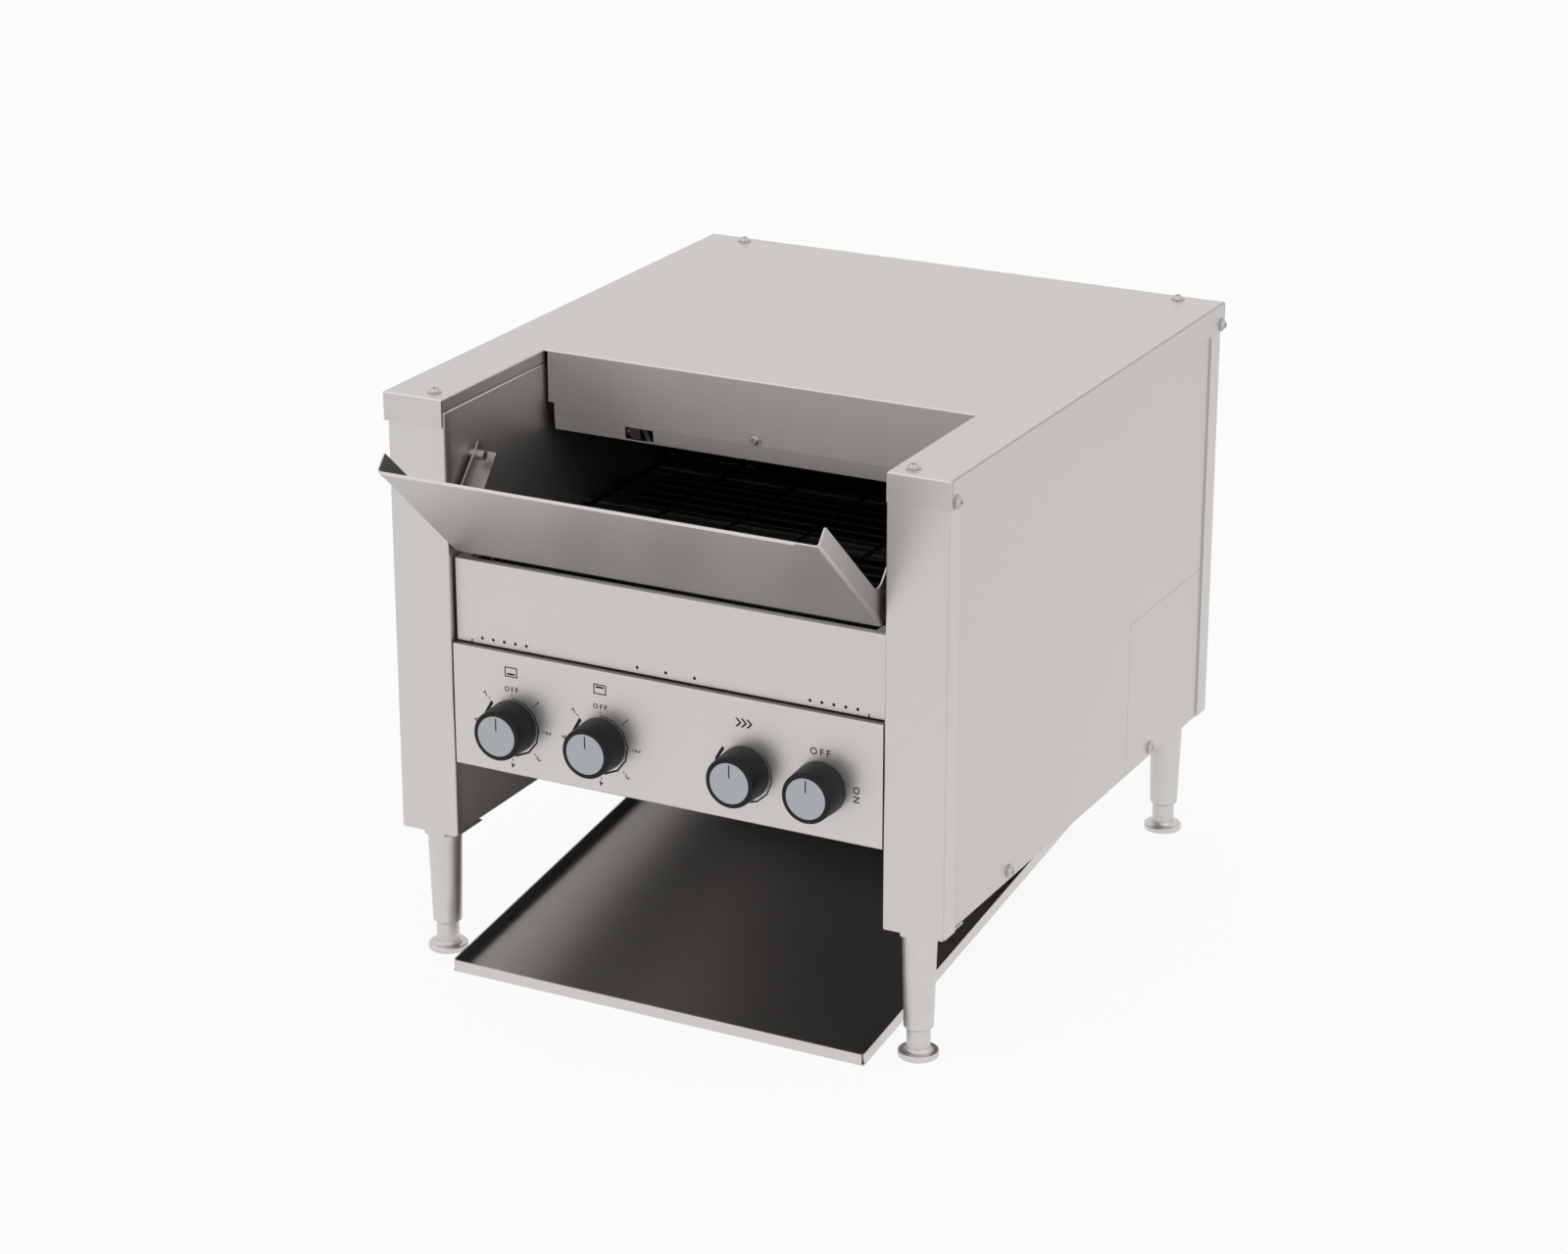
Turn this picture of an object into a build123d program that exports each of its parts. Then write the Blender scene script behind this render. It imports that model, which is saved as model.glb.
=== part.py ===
from build123d import *

import os
from math import asin, atan2, cos, degrees, radians, sin, tan

# Countertop conveyor toaster with a top feed chute, a wire conveyor belt between two banks of
# heaters, and a slide under the body that brings the toast back to the front.
# Millimetres, +Z up, +Y towards the back. The origin is on the table under the middle of the machine.

# ---------------------------------------------------------------- driving sizes
sheet = 1.2  # stainless sheet of the casing
bend = 1.6  # outside radius of a fold
fold_relief = 1.0  # radius of the relief holes where two folds meet
lap = 0.8  # air between the cover's skirt and what it laps over

cover_width = 455.0
cover_depth = 503.0
cover_top_z = 445.0
cover_skirt = 22.0  # drop of the cover's outer flanges
base_z = 102.0  # height of the underside on 4 inch legs

horn_width = 50.3  # each front horn of the cover, from the side to a post's inner face
horn_set_back = 1.1  # of the cover's edge behind a post's inner face
throat_depth = 146.0  # how far the loading opening is cut into the cover
horn_lip = 10.0  # drop of the flange along the inner side of each horn
header_drop = 50.0  # drop of the flange at the back of the loading opening
header_gap = 1.4  # open corner at both ends of that flange
header_notch = 5.0  # step at both ends of that flange
header_notch_height = 9.0
header_strip = 12.0  # lower strip of the flange, folded back a little
header_strip_angle = 6.0
corner_slit = 0.5  # open seam where two flanges meet at a corner

post_return = 19.0  # flange of a front post along the side of the machine
post_inner_return = 8.0
post_plate = 35.0  # foot plate of a post, towards the back
cover_tab_width = 23.8  # tabs under the cover that its top screws hold
panel_return = 19.5  # flange of the back panel along the side of the machine
side_lift = 3.5  # how far the side panels stop above the base
wall_inset = 1.2  # step from the posts' inner faces to the inner walls
wall_lip = 17.6  # upstand that the lower side screws hold

upper_panel_recess = 6.0  # behind the posts' front faces
upper_panel_gap = 2.0  # each side
upper_panel_top_z = 323.4
upper_panel_lip = 4.6  # top return between the end tabs
upper_panel_tab = 9.6  # width of the tabs at both ends
upper_panel_return = 15.0  # depth of those tabs and of the bottom return
upper_panel_slit_inset = 12.6  # of the slits in the lower edge
vent_hole_radius = 1.25
vent_hole_rise = 4.3  # above the panel's lower edge
vent_pitch = 9.4
vent_group = 5  # holes in each outer group
vent_group_inset = 40.2  # from the panel's end to the middle of a group
vent_middle = 3
vent_middle_pitch = 23.5

control_panel_recess = 1.0
control_panel_gap = 1.0  # each side
control_panel_bottom_z = 162.0
control_panel_top_z = 258.0
control_floor_spare = 12.0  # between the gearbox and the back wall of the control compartment
shield_overhang = 14.0  # of the heat shield behind that wall
shield_set_back = 10.0  # of the heat shield behind the upper front panel

knob_z = 200.5
knob_x = {"bottom_heat": -127.0, "top_heat": -52.0, "speed": 66.0, "power": 127.0}
knob_radius = 19.0  # front rim
knob_base_radius = 20.2
knob_length = 22.0
knob_gap = 1.0  # between the knob and the panel
knob_foot = 2.5  # height of the bead round the knob's base
knob_foot_step = 0.4
knob_shoulder = 3.0  # height of the rolled rim
knob_shoulder_step = 0.3
knob_rim = 1.2
cap_radius = 15.5
cap_thickness = 0.9
cap_gap = 0.1
cap_bevel = 0.3
spindle_radius = 3.0
spindle_fit = 0.05
bushing_radius = 4.6
bushing_length = 1.8  # from the back of the panel

belt_pitch = 16.0  # spacing of the belt's cross rods
sprocket_teeth = 8
belt_runs = 22  # pitches between the two shafts
belt_side_gap = 19.2  # between the belt and a post's inner face
belt_rod_radius = 1.5
belt_rod_sides = 8
belt_strands = 6
belt_strand_inset = 8.0  # of the outer strands from the belt's edges
belt_strand_width = 2.0
belt_strand_height = 2.4
sprocket_width = 8.0
sprocket_hub_radius = 12.0
idler_depth = 49.0  # idler shaft behind the cover's front
rod_seat_gap = 0.3
tooth_rise = 0.3  # of the seat radius, above the pitch circle
shaft_z = 301.6
shaft_radius = 6.0
shaft_fit = 0.05
bearing_radius = 8.0
bearing_flange_radius = 11.0
bearing_flange = 2.0
bearing_length = 4.6

chain_pitch = 9.525
chain_stand_off = 12.6  # middle of the chain from the inner wall's inner face
chain_roller_radius = 2.2
chain_roller_sides = 6
chain_seat_gap = 0.5
chain_plate_height = 7.0
chain_plate = 1.0
chain_sprocket_width = 2.8
motor_teeth = 9
shaft_teeth = 15
motor_depth = 330.0
motor_z = 215.0
motor_shaft_radius = 4.0

heater_radius = 5.0
heater_tail = 11.6  # of a heater tube beyond the inner wall's inner face
lower_heater_depths = (110.0, 216.0, 322.0)
lower_heater_z = 300.0
upper_heater_depths = (195.0, 300.0, 405.0)
upper_heater_z = 402.0
heater_cap_radius = 9.0
heater_cap_fit = 0.2

chute_side_gap = 3.2  # between the chute and a post's inner face
chute_low = (4.6, 329.8)  # lower outer edge of the ramp: depth and height
chute_angle = 42.1
chute_length = 131.8
chute_wing = 15.4
chute_hem = 4.0
chute_valley_radius = 10.0
chute_corner_radius = 1.5
chute_fold = 3.0  # outside radius of the folds between the ramp and the wings
chute_flange_start = 0.16  # share of the chute's heel that stays plain
chute_arm_angle = 47.3
chute_arm_width = 18.3
chute_arm_flange = 7.0
pivot_depth = 40.5
pivot_z = 392.8
pivot_from_edge = 6.5  # from the arm's front edge
pivot_from_end = 8.1  # from the arm's top end
pivot_radius = 3.4
pivot_fit = 0.05
pivot_head_radius = 5.8
pivot_socket_radius = 2.0
stop_radius = 2.5
stop_head_radius = 4.5
stop_gap = 0.3
stop_z = 350.0

slide_side_gap = 4.7  # between the slide and a post's inner face
slide_front = -16.0  # front edge, ahead of the cover
slide_back = 486.0
slide_angle = 7.2
slide_lip = 9.5
slide_ear_depths = (432.0, 480.0)
slide_travel = 200.0
runner_z = 106.3
runner_height = 16.0
runner_width = 5.4
runner_gap = 0.3

leg_stand_off = 21.8  # a leg's axis from a post's inner face
leg_depths = (19.0, 483.0)
leg_hex = 29.5  # across flats
leg_hex_height = 4.0
leg_top_radius = 13.0
leg_bottom_radius = 11.0
leg_bottom_z = 22.5
leg_chamfer = 1.6
leg_stud_radius = 4.8
leg_stud_height = 14.0
foot_radius = 15.0
foot_flange = 4.5
foot_stem_radius = 8.7
foot_stem_top_z = 62.0
foot_fit = 0.1
foot_edge = 0.6
foot_flare = 2.2
foot_bore_spare = 2.4

screw_radius = 2.0
screw_fit = 0.15
screw_washer_radius = 5.3
screw_washer = 0.9
screw_head_radius = 3.8
screw_head = 2.4
screw_head_taper = 25.0
screw_length = 10.0
screw_cross = 3.2
screw_cross_width = 0.8
screw_cross_depth = 1.2
cover_screw_stand_off = 14.8  # a top screw from a post's inner face
cover_screw_depths = (14.0, 492.0)
side_screw_depths = (8.5, 496.5)
side_screw_z = 428.0
base_screw_depths = (116.0, 384.0)
base_screw_z = 111.5
header_screw_z = 399.4

gland_stand_off = 23.8  # cable entry from the left post's inner face
gland_z = 150.0
gland_reach = 8.0  # behind the back panel
gland_body_radius = 9.0
gland_flange_radius = 13.0
gland_bore_radius = 6.5
gland_nut_radius = 12.0
gland_chamfer = 1.5

service_depths = (336.0, 490.0)
service_top_z = 230.0
service_gap = 0.2
service_lap = 8.0  # strip behind the side panel
probe_window = 24.0
probe_window_x = -98.0
probe_length = 46.0
probe_radius = 4.0
vent_slots = 11
vent_slot_pitch = 26.0
vent_row_pitch = 44.0
vent_slot_length = 30.0
vent_slot_width = 4.0
vent_rows_z = 368.0
bracket_depth = 457.0
control_flange = 20.0
floor_upstand = 12.0
shield_drop = 22.0
lower_tray_depths = (72.0, 360.0)
lower_tray_z = 285.5
lower_tray_rise = 8.0
hood_z = 424.0
hood_back = 470.0
hood_front_drop = 28.0
hood_back_drop = 36.0
deflector_top_z = 418.0
deflector_bend_z = 190.0
deflector_radius = 80.0
deflector_turn = 50.0
deflector_run = 8.0
motor_boss_radius = 9.0
motor_radius = 24.0
motor_length = 56.0
motor_edge = 3.0
gearbox_width = 46.0
gearbox_depth = 60.0
gearbox_height = 68.0
gearbox_corner = 4.0
motor_shaft_depth = 14.0
chain_gap = 3.6
fan_x = -60.0
fan_depth = 265.0
fan_size = 80.0
fan_corner = 4.0
fan_strut = 4.0
fan_root = 1.0  # how far struts and blades reach into what carries them
fan_radius = 37.0
fan_height = 25.0
fan_hub_radius = 14.0
fan_pin_radius = 2.0
fan_blades = 7
fan_blade_chord = 14.0
fan_blade_angle = 38.0
fan_vents = 12
fan_vent_ring = 26.0
fan_vent_radius = 5.0
spindle_socket = 16.0
knob_socket = 14.0
speed_can_radius = 14.0
speed_can_depth = 20.0
lugs = 3
lug_pitch = 7.0
lug_size = (3.0, 9.0)
heat_switch_size = (38.0, 34.0)  # square body and its depth
power_switch_size = (30.0, 40.0)
switch_corner = 3.0
pointer_width = 1.0
pointer_length = 9.5
pointer_inset = 1.6  # from the cap's edge
pointer_depth = 0.25
terminal_depth = 430.0
terminal_length = 52.0
terminal_width = 22.0
terminal_height = 18.0
terminal_pitch = 15.3
trough_size = (10.4, 15.4)
pivot_tail = 5.4
hem_inset = 3.4
hem_short = 18.0
ear_lip = 4.4

# ---------------------------------------------------------------- derived places
chute_tip = (
    chute_low[0] - chute_length * cos(radians(chute_angle)),
    chute_low[1] + chute_length * sin(radians(chute_angle)),
)
hem_drop = sheet * sin(radians(chute_angle))
chute_reach = chute_tip[0] - hem_drop
panel_back = cover_depth - sheet - lap  # outer face of the back panel, from the cover's front
front = -(chute_reach + panel_back + gland_reach) / 2  # Y of the cover's front face

cover_half = cover_width / 2
throat_half = cover_half - horn_width
opening_half = throat_half + horn_set_back  # of the cover's loading opening
header_half = throat_half - header_gap
under_cover_z = cover_top_z - sheet
post_half = cover_half - sheet - lap
post_front = sheet + lap
side_outer = post_half - sheet
side_inner = side_outer - sheet
wall_x = throat_half + wall_inset  # inner face of an inner wall
wall_top_z = cover_top_z - horn_lip - lap
wall_out = wall_x + sheet
wall_front = post_front + sheet
wall_back = panel_back - sheet
wall_base_z = base_z + sheet
wall_end = wall_back - sheet
post_back = post_front + post_inner_return
upper_panel_front = post_front + upper_panel_recess
upper_panel_half = throat_half - upper_panel_gap
vent_group_x = upper_panel_half - vent_group_inset
shield_z = control_panel_top_z
control_floor_depth = motor_depth + gearbox_depth / 2 + control_floor_spare
shield_depth = control_floor_depth + shield_overhang
upper_panel_bottom_z = shield_z + sheet
control_panel_front = post_front + control_panel_recess
control_panel_half = throat_half - control_panel_gap
floor_z = control_panel_bottom_z + sheet
sprocket_pitch_radius = belt_pitch / (2 * sin(radians(180 / sprocket_teeth)))
drive_depth = idler_depth + belt_runs * belt_pitch
belt_half = throat_half - belt_side_gap
strand_pitch = 2 * (belt_half - belt_strand_inset) / (belt_strands - 1)
belt_strand_x = [belt_strand_inset - belt_half + k * strand_pitch for k in range(belt_strands)]
sprocket_x = [x + strand_pitch / 2 for x in belt_strand_x[::2]]
chain_x = wall_x + chain_stand_off
heater_reach = wall_x + heater_tail
chute_half_width = throat_half - chute_side_gap
slide_half_width = throat_half - slide_side_gap
leg_x = throat_half + leg_stand_off
cover_screw_x = throat_half + cover_screw_stand_off
gland_x = -(throat_half + gland_stand_off)
probe_depth = throat_depth + 2 * sheet + probe_radius
floor_front = control_panel_front + sheet
shield_front = upper_panel_front + shield_set_back
deflector_back = wall_back - 3 * sheet
knob_back = control_panel_front - knob_gap


def at(depth):
    """Y of a point that lies this far behind the cover's front face."""
    return front + depth


def across(depth):
    """Plane facing the front at a depth: local x is X and local y is Z."""
    return Plane.XZ.offset(-at(depth))


def save(piece, name):
    """Label a finished piece and write its file."""
    piece.part.label = name
    export_step(piece.part, f"parts/{name}.step")


def chute_points():
    """Outline of a chute side in depth and height, from the low edge round the wing and the arm."""
    ramp = Vector(-cos(radians(chute_angle)), sin(radians(chute_angle)))
    ramp_up = Vector(sin(radians(chute_angle)), cos(radians(chute_angle)))
    arm = Vector(cos(radians(chute_arm_angle)), sin(radians(chute_arm_angle)))
    arm_back = Vector(sin(radians(chute_arm_angle)), -cos(radians(chute_arm_angle)))
    low = Vector(*chute_low)
    tip = low + ramp * chute_length
    pivot = Vector(pivot_depth, pivot_z)
    arm_end = pivot + arm * pivot_from_end - arm_back * pivot_from_edge
    wing_tip = tip + ramp_up * chute_wing
    # valley: where the wing's upper edge meets the arm's front edge
    reach = (arm_end - wing_tip).dot(arm_back) / (ramp * -1).dot(arm_back)
    valley = wing_tip - ramp * reach
    return low, tip, wing_tip, valley, arm_end, arm_end + arm_back * chute_arm_width


def between(low, high):
    """Middle of a stretch."""
    return (low + high) / 2


def cut_round_x(depth, z, radius, x=wall_x, length=12.0):
    """Cut round holes through a sheet that stands across X, at one side of the machine."""
    with Locations((x, at(depth), z)):
        Cylinder(radius, length, rotation=(0, 90, 0), mode=Mode.SUBTRACT)


chute_heel = chute_points()[-1]
heel_way = (chute_heel - Vector(*chute_low)).normalized()
stop_seat = Vector(*chute_low) + heel_way * ((stop_z - chute_low[1]) / heel_way.Y)
stop_depth = stop_seat.X + heel_way.Y * (stop_radius + stop_gap)
stop_centre_z = stop_seat.Y - heel_way.X * (stop_radius + stop_gap)
chain_run = Vector(drive_depth - motor_depth, shaft_z - motor_z)
chain_lean = degrees(atan2(chain_run.Y, chain_run.X))


# ---------------------------------------------------------------- casing
def make_top_cover():
    """Folded cover: top sheet with a loading opening, skirts all round and a deep header flange."""
    skirt_z = cover_top_z - cover_skirt
    header_z = cover_top_z - header_drop
    with BuildPart() as cover:
        with BuildSketch(Plane.XY.offset(skirt_z)) as outline:
            with Locations((0, at(cover_depth / 2))):
                Rectangle(cover_width, cover_depth)
            with Locations((0, at(throat_depth / 2))):
                Rectangle(2 * opening_half, throat_depth, mode=Mode.SUBTRACT)
        extrude(amount=cover_skirt)
        fillet(cover.faces().sort_by(Axis.Z)[-1].edges(), bend)
        with BuildSketch(Plane.XY.offset(skirt_z)):
            add(outline.sketch)
            offset(amount=-sheet, kind=Kind.INTERSECTION)
        extrude(amount=cover_skirt - sheet, mode=Mode.SUBTRACT)
        lip_x = opening_half + sheet / 2
        for side in (-1, 1):
            with Locations((side * lip_x, at(sheet + throat_depth / 2), skirt_z)):
                Box(sheet, throat_depth, 2 * (cover_skirt - horn_lip), mode=Mode.SUBTRACT)
            gap_x = between(header_half, opening_half)
            with Locations((side * gap_x, at(throat_depth + sheet / 2), skirt_z)):
                Box(opening_half - header_half, sheet, 2 * (cover_skirt - bend), mode=Mode.SUBTRACT)
        notched = 2 * (header_half - header_notch)
        with BuildSketch(across(throat_depth)):
            with Locations((0, between(header_z + header_notch_height, skirt_z + sheet))):
                Rectangle(2 * header_half, skirt_z + sheet - header_z - header_notch_height)
            with Locations((0, header_z + header_notch_height / 2)):
                Rectangle(notched, header_notch_height)
        extrude(amount=-sheet)
        strip_back = header_strip * sin(radians(header_strip_angle))
        strip_down = header_strip * cos(radians(header_strip_angle))
        with BuildSketch(Plane.YZ):
            with BuildLine():
                Polyline(
                    (at(throat_depth), header_z),
                    (at(throat_depth) + sheet, header_z),
                    (at(throat_depth) + sheet + strip_back, header_z - strip_down),
                    (at(throat_depth) + strip_back, header_z - strip_down),
                    close=True,
                )
            make_face()
        extrude(amount=notched / 2, both=True)
        with Locations((probe_window_x, at(throat_depth + sheet), header_z - header_strip / 2)):
            Box(probe_window, 6 * sheet, header_strip - 2 * sheet, mode=Mode.SUBTRACT)
        # open seams at the corners, where the skirts meet
        for side in (-1, 1):
            for depth in (sheet + corner_slit / 2, cover_depth - sheet - corner_slit / 2):
                with Locations((side * (cover_half - sheet / 2), at(depth), skirt_z)):
                    Box(sheet, corner_slit, 2 * (cover_skirt - bend), mode=Mode.SUBTRACT)
            with Locations((side * lip_x, at(sheet + corner_slit / 2), cover_top_z - cover_skirt)):
                Box(sheet, corner_slit, 2 * (cover_skirt - bend), mode=Mode.SUBTRACT)
        for side in (-1, 1):
            for depth in cover_screw_depths:
                with Locations((side * cover_screw_x, at(depth), under_cover_z)):
                    Cylinder(screw_radius + screw_fit, 4 * sheet, mode=Mode.SUBTRACT)
            for depth in side_screw_depths:
                cut_round_x(depth, side_screw_z, screw_radius + screw_fit, side * cover_half, 4 * sheet)
        with Locations((0, at(throat_depth), header_screw_z)):
            Cylinder(screw_radius + screw_fit, 6 * sheet, rotation=(90, 0, 0), mode=Mode.SUBTRACT)
    return cover


def make_front_post(side):
    """Front corner post: a folded channel with a foot plate for the leg and a tab under the cover."""
    inner = throat_half
    plate_back = post_front + post_plate
    notch = horn_set_back + sheet + lap
    with BuildPart() as post:
        with BuildSketch(Plane.XY.offset(base_z)) as profile:
            with Locations((side * between(inner, post_half), at(post_front + sheet / 2))):
                Rectangle(post_half - inner, sheet)
            with Locations((side * (post_half - sheet / 2), at(post_front + post_return / 2))):
                Rectangle(sheet, post_return)
            with Locations((side * (inner + sheet / 2), at(post_front + post_inner_return / 2))):
                Rectangle(sheet, post_inner_return)
            for x in (inner, post_half):
                fillet(profile.vertices().sort_by_distance((side * x, at(post_front)))[0], bend)
        extrude(amount=under_cover_z - base_z)
        with Locations((side * inner, at(between(post_front, plate_back)), under_cover_z)):
            Box(2 * notch, post_plate, 2 * (under_cover_z - wall_top_z), mode=Mode.SUBTRACT)
        top_edge = (side * inner, at(post_front + post_inner_return - sheet), wall_top_z)
        fillet(post.edges().sort_by_distance(top_edge)[0], sheet - corner_slit)
        with BuildSketch(Plane.XY.offset(base_z)):
            plate_middle = between(post_front + bend, plate_back)
            with Locations((side * between(inner, post_half - sheet), at(plate_middle))):
                Rectangle(post_half - sheet - inner, post_plate - bend)
        extrude(amount=sheet)
        with BuildSketch(Plane.XY.offset(under_cover_z - sheet)):
            with Locations((side * cover_screw_x, at(post_front + post_return / 2 + sheet))):
                Rectangle(cover_tab_width, post_return)
        extrude(amount=sheet)
        # relief holes at the lower corners of the folds
        for x in (inner, post_half):
            with Locations((side * x, at(post_front), base_z + fold_relief / 2)):
                Cylinder(fold_relief, 4 * sheet, rotation=(90, 0, 0), mode=Mode.SUBTRACT)
        with Locations((side * leg_x, at(leg_depths[0]), base_z)):
            Cylinder(leg_stud_radius + screw_fit, 4 * sheet, mode=Mode.SUBTRACT)
        with Locations((side * cover_screw_x, at(cover_screw_depths[0]), under_cover_z)):
            Cylinder(screw_radius + screw_fit, 4 * sheet, mode=Mode.SUBTRACT)
        cut_round_x(side_screw_depths[0], side_screw_z, screw_radius + screw_fit, side * post_half)
    return post


def make_side_panel(side):
    """Flat side panel. The right one is cut out for the service panel over the drive."""
    bottom = base_z + side_lift
    with BuildPart() as panel:
        with BuildSketch(Plane.YZ.offset(side * side_outer)):
            with Locations((at(between(wall_front, wall_back)), between(bottom, under_cover_z))):
                Rectangle(wall_back - wall_front, under_cover_z - bottom)
            if side > 0:
                with Locations((at(between(*service_depths)), between(bottom - side_lift, service_top_z))):
                    Rectangle(
                        service_depths[1] - service_depths[0],
                        service_top_z - bottom + side_lift,
                        mode=Mode.SUBTRACT,
                    )
        extrude(amount=-side * sheet)
        for depth in side_screw_depths:
            cut_round_x(depth, side_screw_z, screw_radius + screw_fit, side * side_outer)
        for depth in base_screw_depths:
            cut_round_x(depth, base_screw_z, screw_radius + screw_fit, side * side_outer)
    return panel


def make_service_panel():
    """Flush panel over the chain drive, with a lap strip behind the side panel."""
    bottom = base_z + side_lift
    first, last = service_depths
    with BuildPart() as panel:
        with BuildSketch(Plane.YZ.offset(side_outer)):
            with Locations((at(between(first, last)), between(bottom, service_top_z - service_gap))):
                Rectangle(last - first - 2 * service_gap, service_top_z - service_gap - bottom)
        extrude(amount=-sheet)
        with BuildSketch(Plane.YZ.offset(side_inner)):
            with Locations((at(between(first, last)), service_top_z)):
                Rectangle(last - first - 2 * service_lap, 2 * service_lap)
        extrude(amount=-sheet)
        cut_round_x(base_screw_depths[1], base_screw_z, screw_radius + screw_fit, side_outer)
    return panel


def make_back_panel():
    """Back panel wrapping both rear corners, with vent slots and the cable entry."""
    bottom = base_z + sheet
    with BuildPart() as panel:
        with BuildSketch(Plane.XY.offset(bottom)) as profile:
            with Locations((0, at(panel_back - sheet / 2))):
                Rectangle(2 * post_half, sheet)
            for side in (-1, 1):
                with Locations((side * (post_half - sheet / 2), at(panel_back - panel_return / 2))):
                    Rectangle(sheet, panel_return)
            for side in (-1, 1):
                fillet(profile.vertices().sort_by_distance((side * post_half, at(panel_back)))[0], bend)
        extrude(amount=under_cover_z - bottom)
        with BuildSketch(across(panel_back)):
            with Locations((0, vent_rows_z)):
                with GridLocations(vent_slot_pitch, vent_row_pitch, vent_slots, 2):
                    SlotOverall(vent_slot_length, vent_slot_width, rotation=90)
        extrude(amount=2 * sheet, mode=Mode.SUBTRACT, both=True)
        with Locations((gland_x, at(panel_back), gland_z)):
            Cylinder(gland_body_radius + screw_fit, 6 * sheet, rotation=(90, 0, 0), mode=Mode.SUBTRACT)
        for side in (-1, 1):
            cut_round_x(side_screw_depths[1], side_screw_z, screw_radius + screw_fit, side * post_half)
    return panel


def make_rear_leg_brackets():
    """Two angle brackets inside the rear corners that carry the rear legs and the cover screws."""
    with BuildPart() as brackets:
        for side in (-1, 1):
            inner, outer = wall_x, side_inner
            with BuildSketch(Plane.XY.offset(base_z)):
                with Locations((side * between(inner, outer), at(between(bracket_depth, wall_back)))):
                    Rectangle(outer - inner, wall_back - bracket_depth)
            extrude(amount=sheet)
            with BuildSketch(Plane.XY.offset(base_z)):
                with Locations((side * between(inner, outer), at(wall_back - sheet / 2))):
                    Rectangle(outer - inner, sheet)
            extrude(amount=under_cover_z - base_z)
            with BuildSketch(Plane.XY.offset(under_cover_z - sheet)):
                with Locations((side * cover_screw_x, at(wall_back - post_return / 2))):
                    Rectangle(cover_tab_width, post_return)
            extrude(amount=sheet)
            with Locations((side * leg_x, at(leg_depths[1]), base_z)):
                Cylinder(leg_stud_radius + screw_fit, 4 * sheet, mode=Mode.SUBTRACT)
            with Locations((side * cover_screw_x, at(cover_screw_depths[1]), under_cover_z)):
                Cylinder(screw_radius + screw_fit, 4 * sheet, mode=Mode.SUBTRACT)
            if side < 0:
                with Locations((gland_x, at(wall_back), gland_z)):
                    Cylinder(gland_flange_radius + sheet, 6 * sheet, rotation=(90, 0, 0), mode=Mode.SUBTRACT)
    return brackets


def make_inner_wall(side):
    """Inner wall that carries the shafts, the heaters and the chute, with a flange out to the side panel."""
    with BuildPart() as wall:
        with BuildSketch(across(wall_front)) as profile:
            with Locations((side * (wall_x + sheet / 2), between(wall_base_z, wall_top_z))):
                Rectangle(sheet, wall_top_z - wall_base_z)
            with Locations((side * between(wall_x, side_inner), wall_base_z + sheet / 2)):
                Rectangle(side_inner - wall_x, sheet)
            with Locations((side * (side_inner - sheet / 2), wall_base_z + wall_lip / 2)):
                Rectangle(sheet, wall_lip)
            with Locations((side * between(wall_x, wall_x + post_return), wall_top_z - sheet / 2)):
                Rectangle(post_return, sheet)
            for z in (wall_base_z, wall_top_z):
                fillet(profile.vertices().sort_by_distance((side * wall_x, z))[0], bend)
        extrude(amount=-(wall_end - wall_front))
        for depth in (idler_depth, drive_depth):
            cut_round_x(depth, shaft_z, bearing_radius + screw_fit, side * wall_x)
        for depth in lower_heater_depths:
            cut_round_x(depth, lower_heater_z, heater_radius + sheet + 2 * heater_cap_fit, side * wall_x)
        for depth in upper_heater_depths:
            cut_round_x(depth, upper_heater_z, heater_radius + sheet + 2 * heater_cap_fit, side * wall_x)
        cut_round_x(pivot_depth, pivot_z, pivot_radius + pivot_fit, side * wall_x)
        cut_round_x(stop_depth, stop_centre_z, stop_radius + pivot_fit, side * wall_x)
        if side > 0:
            cut_round_x(motor_depth, motor_z, motor_boss_radius + screw_fit, side * wall_x)
        for depth in base_screw_depths:
            cut_round_x(depth, base_screw_z, screw_radius + screw_fit, side * side_inner)
        for depth in leg_depths:
            with Locations((side * leg_x, at(depth), wall_base_z)):
                Cylinder(leg_stud_radius + screw_fit, 4 * sheet, mode=Mode.SUBTRACT)
    return wall


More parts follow.
